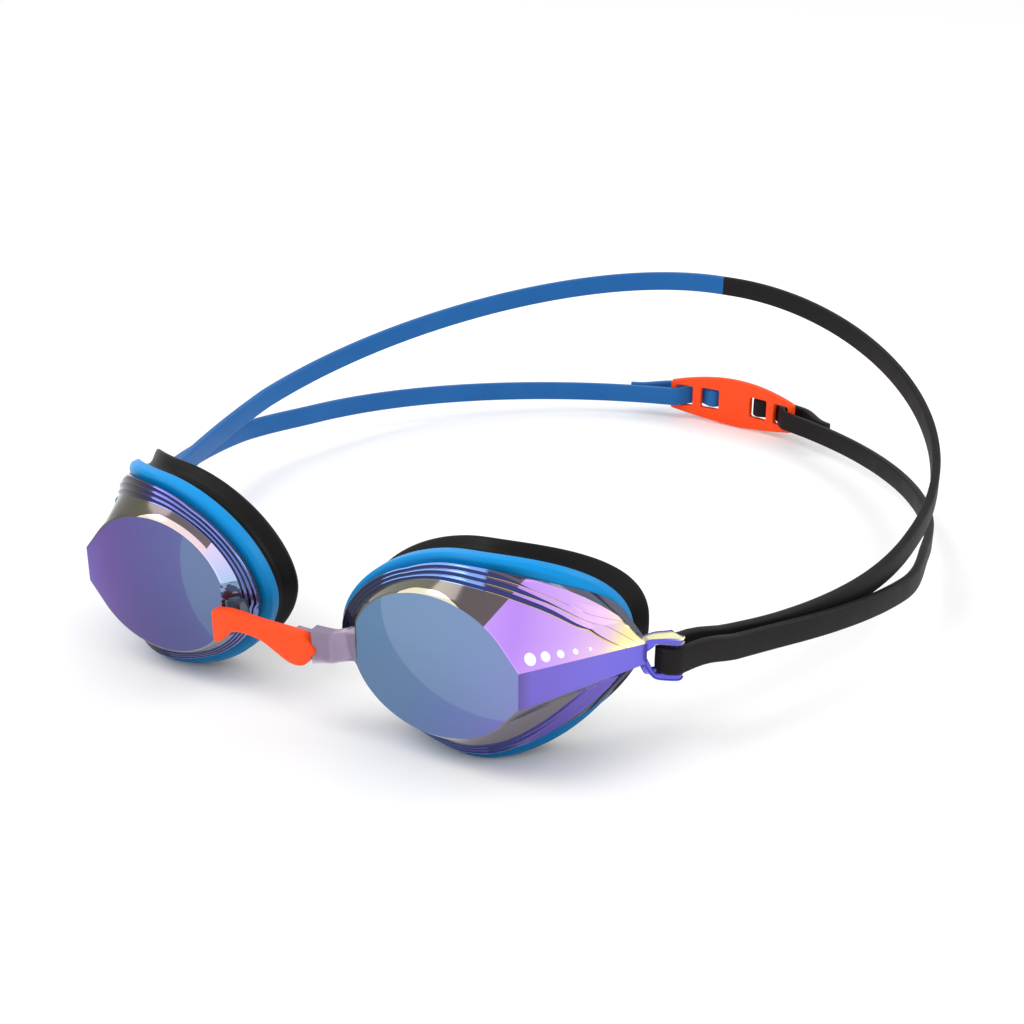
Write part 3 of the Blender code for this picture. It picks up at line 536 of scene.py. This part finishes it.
RIGHT_TONE = {
    "lean": -0.12,
    "face": [(12, srgb(96, 106, 152)), (30, srgb(86, 88, 142)), (40, srgb(86, 76, 138)),
        (47, srgb(94, 70, 142)), (54, srgb(104, 82, 164))],
    "oval": (16, 6, 10.6, 15.0), "oval_gain": 0.7, "oval_tint": srgb(100, 122, 156),
    "wall_top": [(14, srgb(120, 108, 118)), (26, srgb(104, 94, 100)), (33, srgb(98, 90, 92)),
        (36, srgb(92, 88, 74)), (46, srgb(78, 74, 66))],
    "wall_low": [(14, srgb(120, 134, 170)), (24, srgb(150, 148, 150)), (34, srgb(128, 122, 130)),
        (50, srgb(104, 96, 130))],
    "panel_edge": (44.9, 11.2, 3.2, 6.3), "panel_on": 0.0,
    "panel": [(44, srgb(200, 160, 240)), (60, srgb(220, 200, 220))],
    "crescent": (17.0, 37.5, 0.26),
    "crescent_highlight": [(20, srgb(240, 212, 226)), (32, srgb(242, 224, 216)),
        (38, srgb(236, 230, 190))],
    "nose_reflection": ([(4.6, srgb(176, 204, 246)), (8, srgb(206, 208, 250)),
        (12, srgb(236, 214, 244))],
                   (srgb(58, 70, 98), srgb(128, 148, 180))),
    "tread_top": [(13, srgb(96, 116, 176)), (20, srgb(132, 152, 232)), (35, srgb(128, 128, 226)),
        (35.8, srgb(66, 60, 78)), (46, srgb(82, 76, 112))],
    "tread_low": [(13, srgb(110, 130, 190)), (24, srgb(138, 140, 200)),
        (36, srgb(110, 106, 150)), (56, srgb(96, 90, 140))],
    "groove_shade": [(13, srgb(30, 36, 66)), (36, srgb(34, 36, 84)), (40, srgb(40, 36, 40))],
    "gold_reflection_from": 100.0,
    "groove_wide": (34, 40),
    "band": [(52.6, srgb(110, 92, 170)), (60, srgb(112, 100, 200)), (68, srgb(104, 98, 214))],
    "fork": srgb(104, 98, 214), "fork_top_highlight": srgb(150, 142, 190),
}
clear_arm = Finish("arm_clear_tint", Transmission_Weight=0.55, IOR=1.5, Coat_Weight=0.5)
az = clear_arm.seat()[2]
# painted highlight: the clear arm is paler towards its top and bottom edges
edge = (((az + 1.6) * (az + 1.6)) / 12.0).rise(0.75, 1.1)
clear_arm.set("Base Color", clear_arm.mix(edge, srgb(170, 150, 182), srgb(232, 210, 240)))
clear_arm.set("Roughness", 0.12 + 0.1 * clear_arm.noise(140))
clear_arm.bump(clear_arm.noise(120, 1.0), 0.05, 0.0002)

for side, where, tone in ((1, "left", LEFT_TONE), (-1, "right", RIGHT_TONE)):
    shell = Shell()
    rings, reach = lens_rings()
    last_wall = next(i for i, r in enumerate(reach) if r == 1.0)

    def lens_zone(i, k):
        if i < 0:
            return 0
        if i >= last_wall + 1:
            return 4
        n = (k + 1) % len(FACE)
        if abs(FACE[k][0] - FACE_TEMPLE) < 1e-6 and abs(FACE[n][0] - FACE_TEMPLE) < 1e-6:
            return 3
        return 1

    shell.loft(rings, reach=reach, zones=lens_zone)
    fork_prong(shell, 1)
    fork_prong(shell, -1)
    long = BAND_H / 2 + GAP + 0.1 + PRONG / 2
    shell.loft([[Vector((POST[0] + r * math.cos(t), POST[1] + r * math.sin(t), EYELET_Z + h))
                 for t in (2 * math.pi * i / 24 for i in range(24))]
                for h, r in ((-long, POST_R), (long, POST_R))], zone=5, reach=[0.5, 0.5])
    if side > 0:
        nose_arm(shell)
    else:
        # a lug on the other lens, which the nosepiece's far end grips
        for wide, high, y0, y1 in ((1.0, 1.3, BRIDGE_FRONT + 1.1 + GAP, 4.2),
                                   (2.0, 2.4, 0.4, RING_FRONT - 2 * GAP)):
            square = [(LUG_X - wide, high), (LUG_X + wide, high),
                      (LUG_X + wide, -high), (LUG_X - wide, -high)]
            shell.loft([[Vector((x, y, z - 1.5)) for x, z in square] for y in (y0, y1)],
                       zone=4, reach=[0.5, 0.5])
    lens = shell.make("lens_shell_" + where, side)
    lens.data.materials.append(mirror_finish("mirror_coat_" + where, tone).material)
    lens.data.materials.append(clear_arm.material)
    zones = lens.data.attributes["zone"].data
    for poly in lens.data.polygons:
        poly.material_index = 1 if zones[poly.index].value == 6 else 0
    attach(lens, "front")
    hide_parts("lens_" + where)

# ---------------------------------------------------------------- eye rings
# A hard blue ring is clipped behind each lens, wider than it all round; its front edge is
# softened and its land shows as a bright band above and below the lens.
RING_PROFILE = [(-RING_WIDE, 5.5, 0.1), (-0.75, 5.5, 0.3), (0.0, 6.25, 0.3), (0.0, 8.5, 0.3),
                (-0.6, 9.1, 0.3), (-RING_WIDE, 9.1, 0.1)]


def softened(profile, steps=4):
    """A closed profile with each corner rounded to its own radius."""
    out = []
    n = len(profile)
    for i, (u, v, r) in enumerate(profile):
        here = np.array((u, v))
        before = np.array(profile[i - 1][:2]) - here
        after = np.array(profile[(i + 1) % n][:2]) - here
        near, far = np.linalg.norm(before), np.linalg.norm(after)
        p = here + before / near * min(r, near * 0.48)
        q = here + after / far * min(r, far * 0.48)
        for j in range(steps + 1):
            t = j / steps
            out.append((1 - t) ** 2 * p + 2 * t * (1 - t) * here + t * t * q)
    return out


ring_blue = Finish("ring_blue_plastic", IOR=1.46, Specular_IOR_Level=0.16)
rz = ring_blue.seat()[2]
# painted light: the blue is lighter towards the top, and darker on faces that look forward as
# painted shade
rim_tone_lit_from_above = ring_blue.ramp(rz, -24, 24, [(-20, srgb(0, 98, 148)), (-4, srgb(0, 116, 172)),
                                        (10, srgb(0, 136, 204)), (20, srgb(0, 146, 220))])
front_shade = (0.0 - ring_blue.facing()[1]).rise(0.55, 0.85)
rim_tone_lit_from_above = ring_blue.mix(front_shade * 0.55, rim_tone_lit_from_above, srgb(0, 104, 156))
speck = ring_blue.noise(900, 4.0)
ring_blue.set("Base Color", ring_blue.mix(speck * 0.12, rim_tone_lit_from_above, srgb(0, 96, 156)))
ring_blue.set("Roughness", 0.3 + 0.14 * ring_blue.noise(260, 3.0))
ring_blue.bump(ring_blue.noise(1500, 3.0), 0.12, 0.00006)
AROUND = 168
TURNS = [2 * math.pi * (i + 0.5) / AROUND for i in range(AROUND)]
for side, where in ((1, "left"), (-1, "right")):
    shell = Shell()
    profile = softened(RING_PROFILE)
    shell.loft([[rim_point(a, u, v) for u, v in profile] for a in TURNS], closed=True)
    ring = shell.make("eye_ring_" + where, side, 40)
    ring.data.materials.append(ring_blue.material)
    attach(ring, "front")
    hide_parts("frame_ring_" + where)

# ---------------------------------------------------------------- face seals
# A soft black silicone skirt behind each ring: it narrows, then rolls over to a rounded lip
# that beds round the eye socket. It is moulded in one and pressed over the ring's back.
SEAL_LINE = [(-4.7, 9.4), (-2.6, 9.4), (-1.3, 9.6), (-1.9, 11.2), (-1.6, 12.4), (-0.6, 13.4),
             (0.1, 14.3), (-0.2, 15.2), (-1.2, 16.0), (-2.7, 16.6), (-4.4, 16.9), (-5.9, 16.6),
             (-6.6, 15.9), (-6.3, 14.8), (-5.6, 13.0), (-4.9, 11.2)]
seal_black = Finish("seal_black_silicone", IOR=1.41, Specular_IOR_Level=0.2)
dust = seal_black.noise(700, 4.0)
seal_black.set("Base Color", seal_black.mix(dust * 0.5, srgb(12, 12, 13), srgb(24, 24, 26)))
seal_black.set("Roughness", 0.36 + 0.18 * seal_black.noise(240, 3.0))
seal_black.bump(seal_black.noise(1800, 2.0), 0.1, 0.00005)
for side, where in ((1, "left"), (-1, "right")):
    shell = Shell()
    profile = smooth_path(SEAL_LINE, 3, closed=True)
    shell.loft([[rim_point(a, u, v) for u, v in profile] for a in TURNS], closed=True)
    seal = shell.make("face_seal_" + where, side, 60)
    seal.data.materials.append(seal_black.material)
    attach(seal, "front")
    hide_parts("seal_" + where)

# ---------------------------------------------------------------- nosepiece
# A stiff orange clip that sets the distance between the lenses: it hooks over a lug on one
# lens and its point drops into the vee of the other's arm. Moulded, with softened edges.
CORNERS = [(-16.8, 0.0, 0.8), (-12.8, 0.7, 1.8), (-4.8, 0.4, 2.4), (5.6, 0.6, 0.8),
           (8.8, -2.4, 0.8), (5.8, -6.4, 0.8), (3.9, -6.9, 0.9), (1.6, -6.6, 1.2),
           (-1.0, -5.3, 1.4), (-4.2, -3.7, 1.7), (-7.0, -3.3, 1.4), (-10.6, -3.3, 1.1),
           (-12.8, -4.2, 1.1), (-15.1, -6.9, 0.7), (-16.8, -7.3, 0.8)]
orange = Finish("nose_orange_plastic", IOR=1.46, Specular_IOR_Level=0.2)
fine = orange.noise(800, 4.0)
orange.set("Base Color", orange.mix(fine * 0.25, srgb(252, 78, 26), srgb(240, 66, 18)))
orange.set("Roughness", 0.36 + 0.16 * orange.noise(300, 3.0))
orange.bump(orange.noise(1600, 3.0), 0.12, 0.00006)
outline = softened([(x, z, r) for x, z, r in CORNERS], 5)
back = BRIDGE_FRONT + BRIDGE_T
shell = Shell()
levels = [(0.42, BRIDGE_FRONT), (0.2, BRIDGE_FRONT + 0.07), (0.05, BRIDGE_FRONT + 0.22),
          (0.0, BRIDGE_FRONT + 0.42), (0.0, back - 0.3), (0.12, back - 0.08), (0.3, back)]


def shrunk(outline, by):
    """Move an outline inwards by a distance, along its own normals."""
    pts = [np.array(p) for p in outline]
    out = []
    for i, p in enumerate(pts):
        run = pts[(i + 1) % len(pts)] - pts[i - 1]
        run = run / (np.linalg.norm(run) or 1)
        out.append(p + np.array((run[1], -run[0])) * by)
    return out


turning = sum(a[0] * b[1] - b[0] * a[1] for a, b in zip(outline, outline[1:] + outline[:1]))
inward = 1 if turning < 0 else -1
shell.loft([[Vector((x, y, z)) for x, z in shrunk(outline, by * inward)] for by, y in levels])
bridge = shell.make("nose_bridge", 1, 34)
bridge.data.materials.append(orange.material)
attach(bridge, "nose")
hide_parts("nosepiece")

# ---------------------------------------------------------------- strap
# One silicone band, blue on the wearer's right and black on the left, with bevelled edges:
# each half runs from the join at the back round a post and returns through the clip.
STRAP_WIDE, STRAP_WIDE_Y, STRAP_BACK = 91.5, 107.4, 209.6
STRAP_BENDS = (17.0, 33.4, 61.2, 41.9)
HINGE_BEHIND = 3.3
UPPER_Z = (-4.4, -8.8, -3.9, 1.9, 16.4, 15.6)
LOWER_Z = (-4.8, -8.6, -12.4, -18.2, -22.2, -20.1)
PASSED, PASS_RUN, COLOUR_JOIN = 72.0, 28.0, -0.6
TAILS = {1: 36.8, -1: 28.4}
CLIP_MID, SLOT_IN, SLOT_OUT, CLIP_T = 4.0, 7.95, 15.95, 1.8
NEST = BAND_T / 2 + GAP
ROUND_POST = POST_R + GAP + BAND_T / 2
CLIP_OFF = -NEST + BAND_T / 2 + GAP + CLIP_T / 2
BEHIND = CLIP_OFF + CLIP_T / 2 + GAP + BAND_T / 2
OUTER = BEHIND + BAND_T + GAP


def bezier(points, t):
    a, b, c, d = (np.array(p, float) for p in points)
    return a * (1 - t) ** 3 + b * 3 * t * (1 - t) ** 2 + c * 3 * t * t * (1 - t) + d * t ** 3


class StrapLine:
    """The strap's middle line on one side, from the back (s = 0) to the temple post."""

    def __init__(self, steps=160):
        post, leave = np.array(POST), np.array(LEAVE)[:2]
        first, second, third, last = STRAP_BENDS
        wide = np.array((STRAP_WIDE, STRAP_WIDE_Y))
        near = [post, post + leave * first, wide - (0, second), wide]
        far = [wide, wide + (0, third), np.array((last, STRAP_BACK)), np.array((0.0, STRAP_BACK))]
        rows = []
        start = (EYELET_Z,)
        halves = ((near, start + UPPER_Z[:3], start + LOWER_Z[:3], steps),
                  (far, UPPER_Z[2:], LOWER_Z[2:], steps + 1))
        for plan, z0, z1, count in halves:
            for i in range(count):
                t = i / steps
                rows.append((*bezier(plan, t), bezier([(z,) for z in z0], t)[0],
                             bezier([(z,) for z in z1], t)[0]))
        self.table = np.array(rows[::-1])
        self.s = np.concatenate([[0.0], np.cumsum(np.hypot(*np.diff(self.table[:, :2], axis=0).T))])
        self.length = float(self.s[-1])

    def column(self, s, k):
        return float(np.interp(abs(s), self.s, self.table[:, k]))

    def place(self, s, off, z):
        """s mm round from the back (+ to the wearer's left), off mm outwards, z up."""
        before = abs(s) - 1.0
        a = Vector((self.column(abs(s) + 1.0, 0), self.column(abs(s) + 1.0, 1)))
        b = Vector((self.column(before, 0) * (1 if before >= 0 else -1), self.column(before, 1)))
        run = (a - b).normalized()
        x = self.column(s, 0) - run[1] * off
        return Vector((x if s >= 0 else -x, self.column(s, 1) + run[0] * off, z))

    def height(self, s, k):
        level = ease((self.length - HINGE_BEHIND - abs(s)) / 12)
        return EYELET_Z + (self.column(s, k) - EYELET_Z) * level


LINE = StrapLine()


def layer_off(s, sign):
    """How far a strand lies outside the middle line: the lower strand is the outer one."""
    run = LINE.length - abs(s)
    off = sign * (ROUND_POST + (NEST - ROUND_POST) * ease((run - 4) / 26))
    if sign > 0:
        off -= 2 * NEST * ease((run - PASSED) / PASS_RUN)
    return off


def strand(side, start, sign, k):
    """From s = start to the hinge, and on to the front of the post."""
    points = []
    end = LINE.length - HINGE_BEHIND - 0.4
    steps = 90
    for i in range(steps + 1):
        s = start + (end - start) * i / steps
        points.append(LINE.place(side * s, layer_off(s, sign), LINE.height(s, k)))
    post, across = Vector((*POST, EYELET_Z)), Vector((LEAVE.y, -LEAVE.x, 0)) * ROUND_POST * sign
    for i in range(13):
        a = math.pi / 2 * i / 12
        p = post + across * math.cos(a) - LEAVE * ROUND_POST * math.sin(a)
        points.append(Vector((p.x * side, p.y, p.z)))
    return points


def along_clip(side, places):
    """Points on the clip's side of the line, from (distance out from its middle, offset)."""
    out = []
    for along, off in smooth_path(places, 5):
        s = CLIP_MID + side * along
        out.append(LINE.place(s, off, LINE.height(CLIP_MID, 3)))
    return out


def sweep_tree():
    """Geometry Nodes: a bevelled band swept upright along a line of edges."""
    tree = bpy.data.node_groups.new("strap_sweep", "GeometryNodeTree")
    face = tree.interface
    face.new_socket("Path", in_out="INPUT", socket_type="NodeSocketGeometry")
    for name, value in (("Thickness", 0.002), ("Height", 0.0052), ("Edge", 0.0006)):
        face.new_socket(name, in_out="INPUT", socket_type="NodeSocketFloat").default_value = value
    face.new_socket("Material", in_out="INPUT", socket_type="NodeSocketMaterial")
    face.new_socket("Band", in_out="OUTPUT", socket_type="NodeSocketGeometry")
    add, link = tree.nodes.new, tree.links.new
    given, result = add("NodeGroupInput"), add("NodeGroupOutput")
    line = add("GeometryNodeMeshToCurve")
    upright = add("GeometryNodeSetCurveNormal")
    upright.mode = "Z_UP"
    section = add("GeometryNodeCurvePrimitiveQuadrilateral")
    corner = add("GeometryNodeFilletCurve")
    corner.mode = "POLY"
    corner.inputs["Count"].default_value = 3
    corner.inputs["Limit Radius"].default_value = True
    swept = add("GeometryNodeCurveToMesh")
    swept.inputs["Fill Caps"].default_value = True
    real, paint = add("GeometryNodeRealizeInstances"), add("GeometryNodeSetMaterial")
    link(given.outputs["Path"], line.inputs["Mesh"])
    link(line.outputs[0], upright.inputs[0])
    link(given.outputs["Thickness"], section.inputs["Width"])
    link(given.outputs["Height"], section.inputs["Height"])
    link(section.outputs[0], corner.inputs["Curve"])
    link(given.outputs["Edge"], corner.inputs["Radius"])
    link(upright.outputs[0], swept.inputs["Curve"])
    link(corner.outputs[0], swept.inputs["Profile Curve"])
    link(swept.outputs[0], real.inputs[0])
    link(real.outputs[0], paint.inputs["Geometry"])
    link(given.outputs["Material"], paint.inputs["Material"])
    link(paint.outputs[0], result.inputs[0])
    return tree


SWEEP = sweep_tree()


def swept_band(name, points, finish):
    """A band along points given in the wearer's frame."""
    line = bpy.data.meshes.new(name)
    line.from_pydata([WORN @ p for p in points], [(i, i + 1) for i in range(len(points) - 1)], [])
    run = np.concatenate([[0.0], np.cumsum([(b - a).length for a, b in zip(points, points[1:])])])
    line.attributes.new("reach", "FLOAT", "POINT").data.foreach_set("value", run)
    obj = bpy.data.objects.new(name, line)
    bpy.context.scene.collection.objects.link(obj)
    step = obj.modifiers.new("sweep", "NODES")
    step.node_group = SWEEP
    ids = {item.name: item.identifier for item in SWEEP.interface.items_tree}
    step[ids["Thickness"]] = BAND_T * MM
    step[ids["Height"]] = BAND_H * MM
    step[ids["Edge"]] = BAND_EDGE * MM
    step[ids["Material"]] = finish.material
    bpy.context.view_layer.update()
    mesh = bpy.data.meshes.new_from_object(obj.evaluated_get(bpy.context.evaluated_depsgraph_get()))
    obj.modifiers.clear()
    obj.data = mesh
    mesh.name = name
    shell = bmesh.new()
    shell.from_mesh(mesh)
    bmesh.ops.remove_doubles(shell, verts=shell.verts, dist=1e-7)
    bmesh.ops.recalc_face_normals(shell, faces=shell.faces)
    shell.to_mesh(mesh)
    shell.free()
    mesh.shade_smooth()
    mesh.set_sharp_from_angle(angle=math.radians(35))
    return obj


def silicone(name, dark, light, rough):
    band = Finish(name, IOR=1.41, Specular_IOR_Level=0.22)
    cloud = band.noise(60, 3.0)
    grain = band.noise(1400, 3.0)
    colour = band.mix(cloud.rise(0.1, 0.9) * 0.5, dark, light)
    band.set("Base Color", band.mix(grain * 0.15, colour, dark))
    band.set("Roughness", rough + 0.16 * band.noise(220, 3.0))
    band.bump(grain, 0.12, 0.00005)
    return band


strap_blue = silicone("strap_blue_silicone", srgb(24, 92, 158), srgb(40, 108, 172), 0.34)
strap_black = silicone("strap_black_silicone", srgb(20, 17, 18), srgb(28, 24, 26), 0.5)
for side, where, finish, slot in ((1, "left", strap_black, "strap_black"),
                                  (-1, "right", strap_blue, "strap_blue")):
    begin = side * COLOUR_JOIN
    upper = swept_band("upper_strand_" + where, strand(side, begin, -1, 2), finish)
    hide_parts("strap_upper_" + where)
    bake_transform(upper)

    bight = along_clip(side, [(SLOT_IN + 2.2, OUTER), (SLOT_IN + 0.2, OUTER),
                              (SLOT_IN - 1.0, BEHIND + 1.5),
                              (SLOT_IN - 1.6, CLIP_OFF + 2.4), (SLOT_IN - 1.45, CLIP_OFF + 1.0),
                              (SLOT_IN - 0.5, CLIP_OFF + 0.3), (SLOT_IN + 0.7, CLIP_OFF + 0.8),
                              (SLOT_IN + 2.9, BEHIND), (SLOT_OUT - 3.4, BEHIND)])
    through = []
    for i in range(1, 17):
        t = i / 16
        s = CLIP_MID + side * (SLOT_OUT - 3.2 + 6.4 * t)
        through.append(LINE.place(s, BEHIND + (-NEST - BEHIND) * ease(t), LINE.height(s, 3)))
    rest = strand(side, abs(CLIP_MID + side * (SLOT_OUT + 4.4)), 1, 3)
    lower = swept_band("lower_strand_" + where, bight + through + rest, finish)
    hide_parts("strap_lower_" + where, "strap_turn_" + where, "strap_loop_" + where)
    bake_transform(lower)

    first, last = SLOT_IN + 2.2, abs(TAILS[side] - side * CLIP_MID)
    leave = SLOT_OUT + 3.6
    free = []
    for i in range(31):
        along = first + (last - first) * i / 30
        s = CLIP_MID + side * along
        off = OUTER + (NEST + GAP - OUTER) * ease((along - leave) / (last - 2 - leave))
        free.append(LINE.place(s, off, LINE.height(s, 3)))
    tail = swept_band("free_tail_" + where, free, finish)
    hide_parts("strap_tail_" + where)
    where + "_tail"
    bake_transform(tail)

# ---------------------------------------------------------------- clip
# A thin leaf-shaped orange plate, bowed to the back of the head, with four slots: each strap
# end goes in by an outer slot and comes back by the inner one, which is how it is adjusted.
CLIP_LONG, CLIP_HIGH, CLIP_END = 40.2, 14.2, 8.4
SLOT_H, SLOT_IN_WIDE, SLOT_OUT_WIDE = 6.2, 5.6, 5.0
CLIP_CUTS = 40             # across the plate, so that it can bow
clip_edge = 0.35
half = CLIP_LONG / 2
flat = bpy.data.curves.new("clip_flat", "CURVE")
flat.dimensions = "2D"
flat.fill_mode = "BOTH"
flat.extrude = CLIP_T / 2 - clip_edge
flat.bevel_depth = clip_edge
flat.bevel_resolution = 2
flat.offset = -clip_edge


def outline_spline(points):
    spline = flat.splines.new("POLY")
    spline.points.add(len(points) - 1)
    for point, (x, z) in zip(spline.points, points):
        point.co = (x, z, 0, 1)
    spline.use_cyclic_u = True


leaf = []
for i in range(49):
    x = -half + CLIP_LONG * i / 48
    z = CLIP_END / 2 + (CLIP_HIGH - CLIP_END) / 2 * math.cos(math.pi / 2 * abs(x) / half) ** 0.9
    leaf.append((x, z))
loop = [(x, z, 0.05) for x, z in leaf] + [(x, -z, 0.05) for x, z in reversed(leaf)]
for i in (0, 48, 49, 97):
    loop[i] = (*loop[i][:2], 0.7)
outline_spline([tuple(p) for p in softened(loop, 3)])
for x, wide in ((SLOT_IN, SLOT_IN_WIDE), (SLOT_OUT, SLOT_OUT_WIDE)):
    for mid in (-x, x):
        square = [(mid - wide / 2, -SLOT_H / 2, 0.6), (mid - wide / 2, SLOT_H / 2, 0.6),
                  (mid + wide / 2, SLOT_H / 2, 0.6), (mid + wide / 2, -SLOT_H / 2, 0.6)]
        outline_spline([tuple(p) for p in softened(square, 3)])
cut_out = bpy.data.objects.new("clip_flat", flat)
bpy.context.scene.collection.objects.link(cut_out)
bpy.context.view_layer.update()
mesh = bpy.data.meshes.new_from_object(cut_out.evaluated_get(bpy.context.evaluated_depsgraph_get()))
bpy.data.objects.remove(cut_out)
shell = bmesh.new()
shell.from_mesh(mesh)
bmesh.ops.remove_doubles(shell, verts=shell.verts, dist=1e-4)
for i in range(1, CLIP_CUTS):
    bmesh.ops.bisect_plane(shell, geom=shell.verts[:] + shell.edges[:] + shell.faces[:],
                           plane_co=(-half + CLIP_LONG * i / CLIP_CUTS, 0, 0), plane_no=(1, 0, 0))
bmesh.ops.recalc_face_normals(shell, faces=shell.faces)
level = LINE.height(CLIP_MID, 3)
for vert in shell.verts:
    x, z, y = vert.co
    vert.co = WORN @ LINE.place(CLIP_MID + x, CLIP_OFF + y, level + z)
bmesh.ops.recalc_face_normals(shell, faces=shell.faces)
shell.to_mesh(mesh)
shell.free()
mesh.name = "strap_slider"
mesh.shade_smooth()
mesh.set_sharp_from_angle(angle=math.radians(40))
slider = bpy.data.objects.new("strap_slider", mesh)
bpy.context.scene.collection.objects.link(slider)
mesh.materials.clear()
mesh.materials.append(orange.material)
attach(slider, "lower_strap")
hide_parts("strap_clip")

# ---------------------------------------------------------------- floor, light and camera
# A pale floor under soft studio light, seen from above the wearer's left eye.
floor_mesh = bpy.data.meshes.new("floor")
FLOOR_HALF, FLOOR_Z = 6, -0.0002
floor_mesh.from_pydata([(x * FLOOR_HALF, y * FLOOR_HALF, FLOOR_Z)
                        for x, y in ((-1, -1), (1, -1), (1, 1), (-1, 1))], [], [(0, 1, 2, 3)])
floor = bpy.data.objects.new("floor", floor_mesh)
bpy.context.scene.collection.objects.link(floor)
pale = Finish("floor_pale", Roughness=0.9, Specular_IOR_Level=0.0)
pale.set("Base Color", pale.mix(pale.noise(3.0) * 0.1, (0.97, 0.97, 0.97, 1),
                                (0.95, 0.95, 0.95, 1)))
floor_mesh.materials.append(pale.material)

world = bpy.data.worlds.new("studio")
world.use_nodes = True
world.node_tree.nodes["Background"].inputs["Color"].default_value = (1.0, 1.0, 1.0, 1.0)
world.node_tree.nodes["Background"].inputs["Strength"].default_value = 1.0
bpy.context.scene.world = world


def soft_light(name, place, aim, size, power):
    lamp = bpy.data.lights.new(name, "AREA")
    lamp.shape, lamp.size, lamp.energy = "DISK", size, power
    obj = bpy.data.objects.new(name, lamp)
    obj.location = place
    obj.rotation_mode = "QUATERNION"
    obj.rotation_quaternion = (Vector(aim) - Vector(place)).to_track_quat("-Z", "Y")
    bpy.context.scene.collection.objects.link(obj)


CAMERA_AT, CAMERA_LENS = (0.1854, -0.33863, 0.16769), 58.88
CAMERA_RIGHT, CAMERA_BACK = (0.861, 0.50838, 0.01504), (0.4646, -0.79819, 0.38355)
soft_light("key", (-0.35, -0.45, 0.75), (0, 0, 0.02), 0.5, 2.2)
soft_light("rim", (0.5, 0.5, 0.5), (0, 0, 0.02), 0.4, 1.2)

camera = bpy.data.cameras.new("camera")
camera.sensor_width, camera.lens = 36.0, CAMERA_LENS
camera.clip_start = 0.01
shot = bpy.data.objects.new("camera", camera)
right = Vector(CAMERA_RIGHT).normalized()
behind = Vector(CAMERA_BACK).normalized()
above = behind.cross(right).normalized()
right = above.cross(behind).normalized()
turn = Matrix((right, above, behind)).transposed()
shot.matrix_world = Matrix.Translation(CAMERA_AT) @ turn.to_4x4()
bpy.context.scene.collection.objects.link(shot)
bpy.context.scene.camera = shot
# colours come out as they are painted
bpy.context.scene.view_settings.view_transform = "Standard"
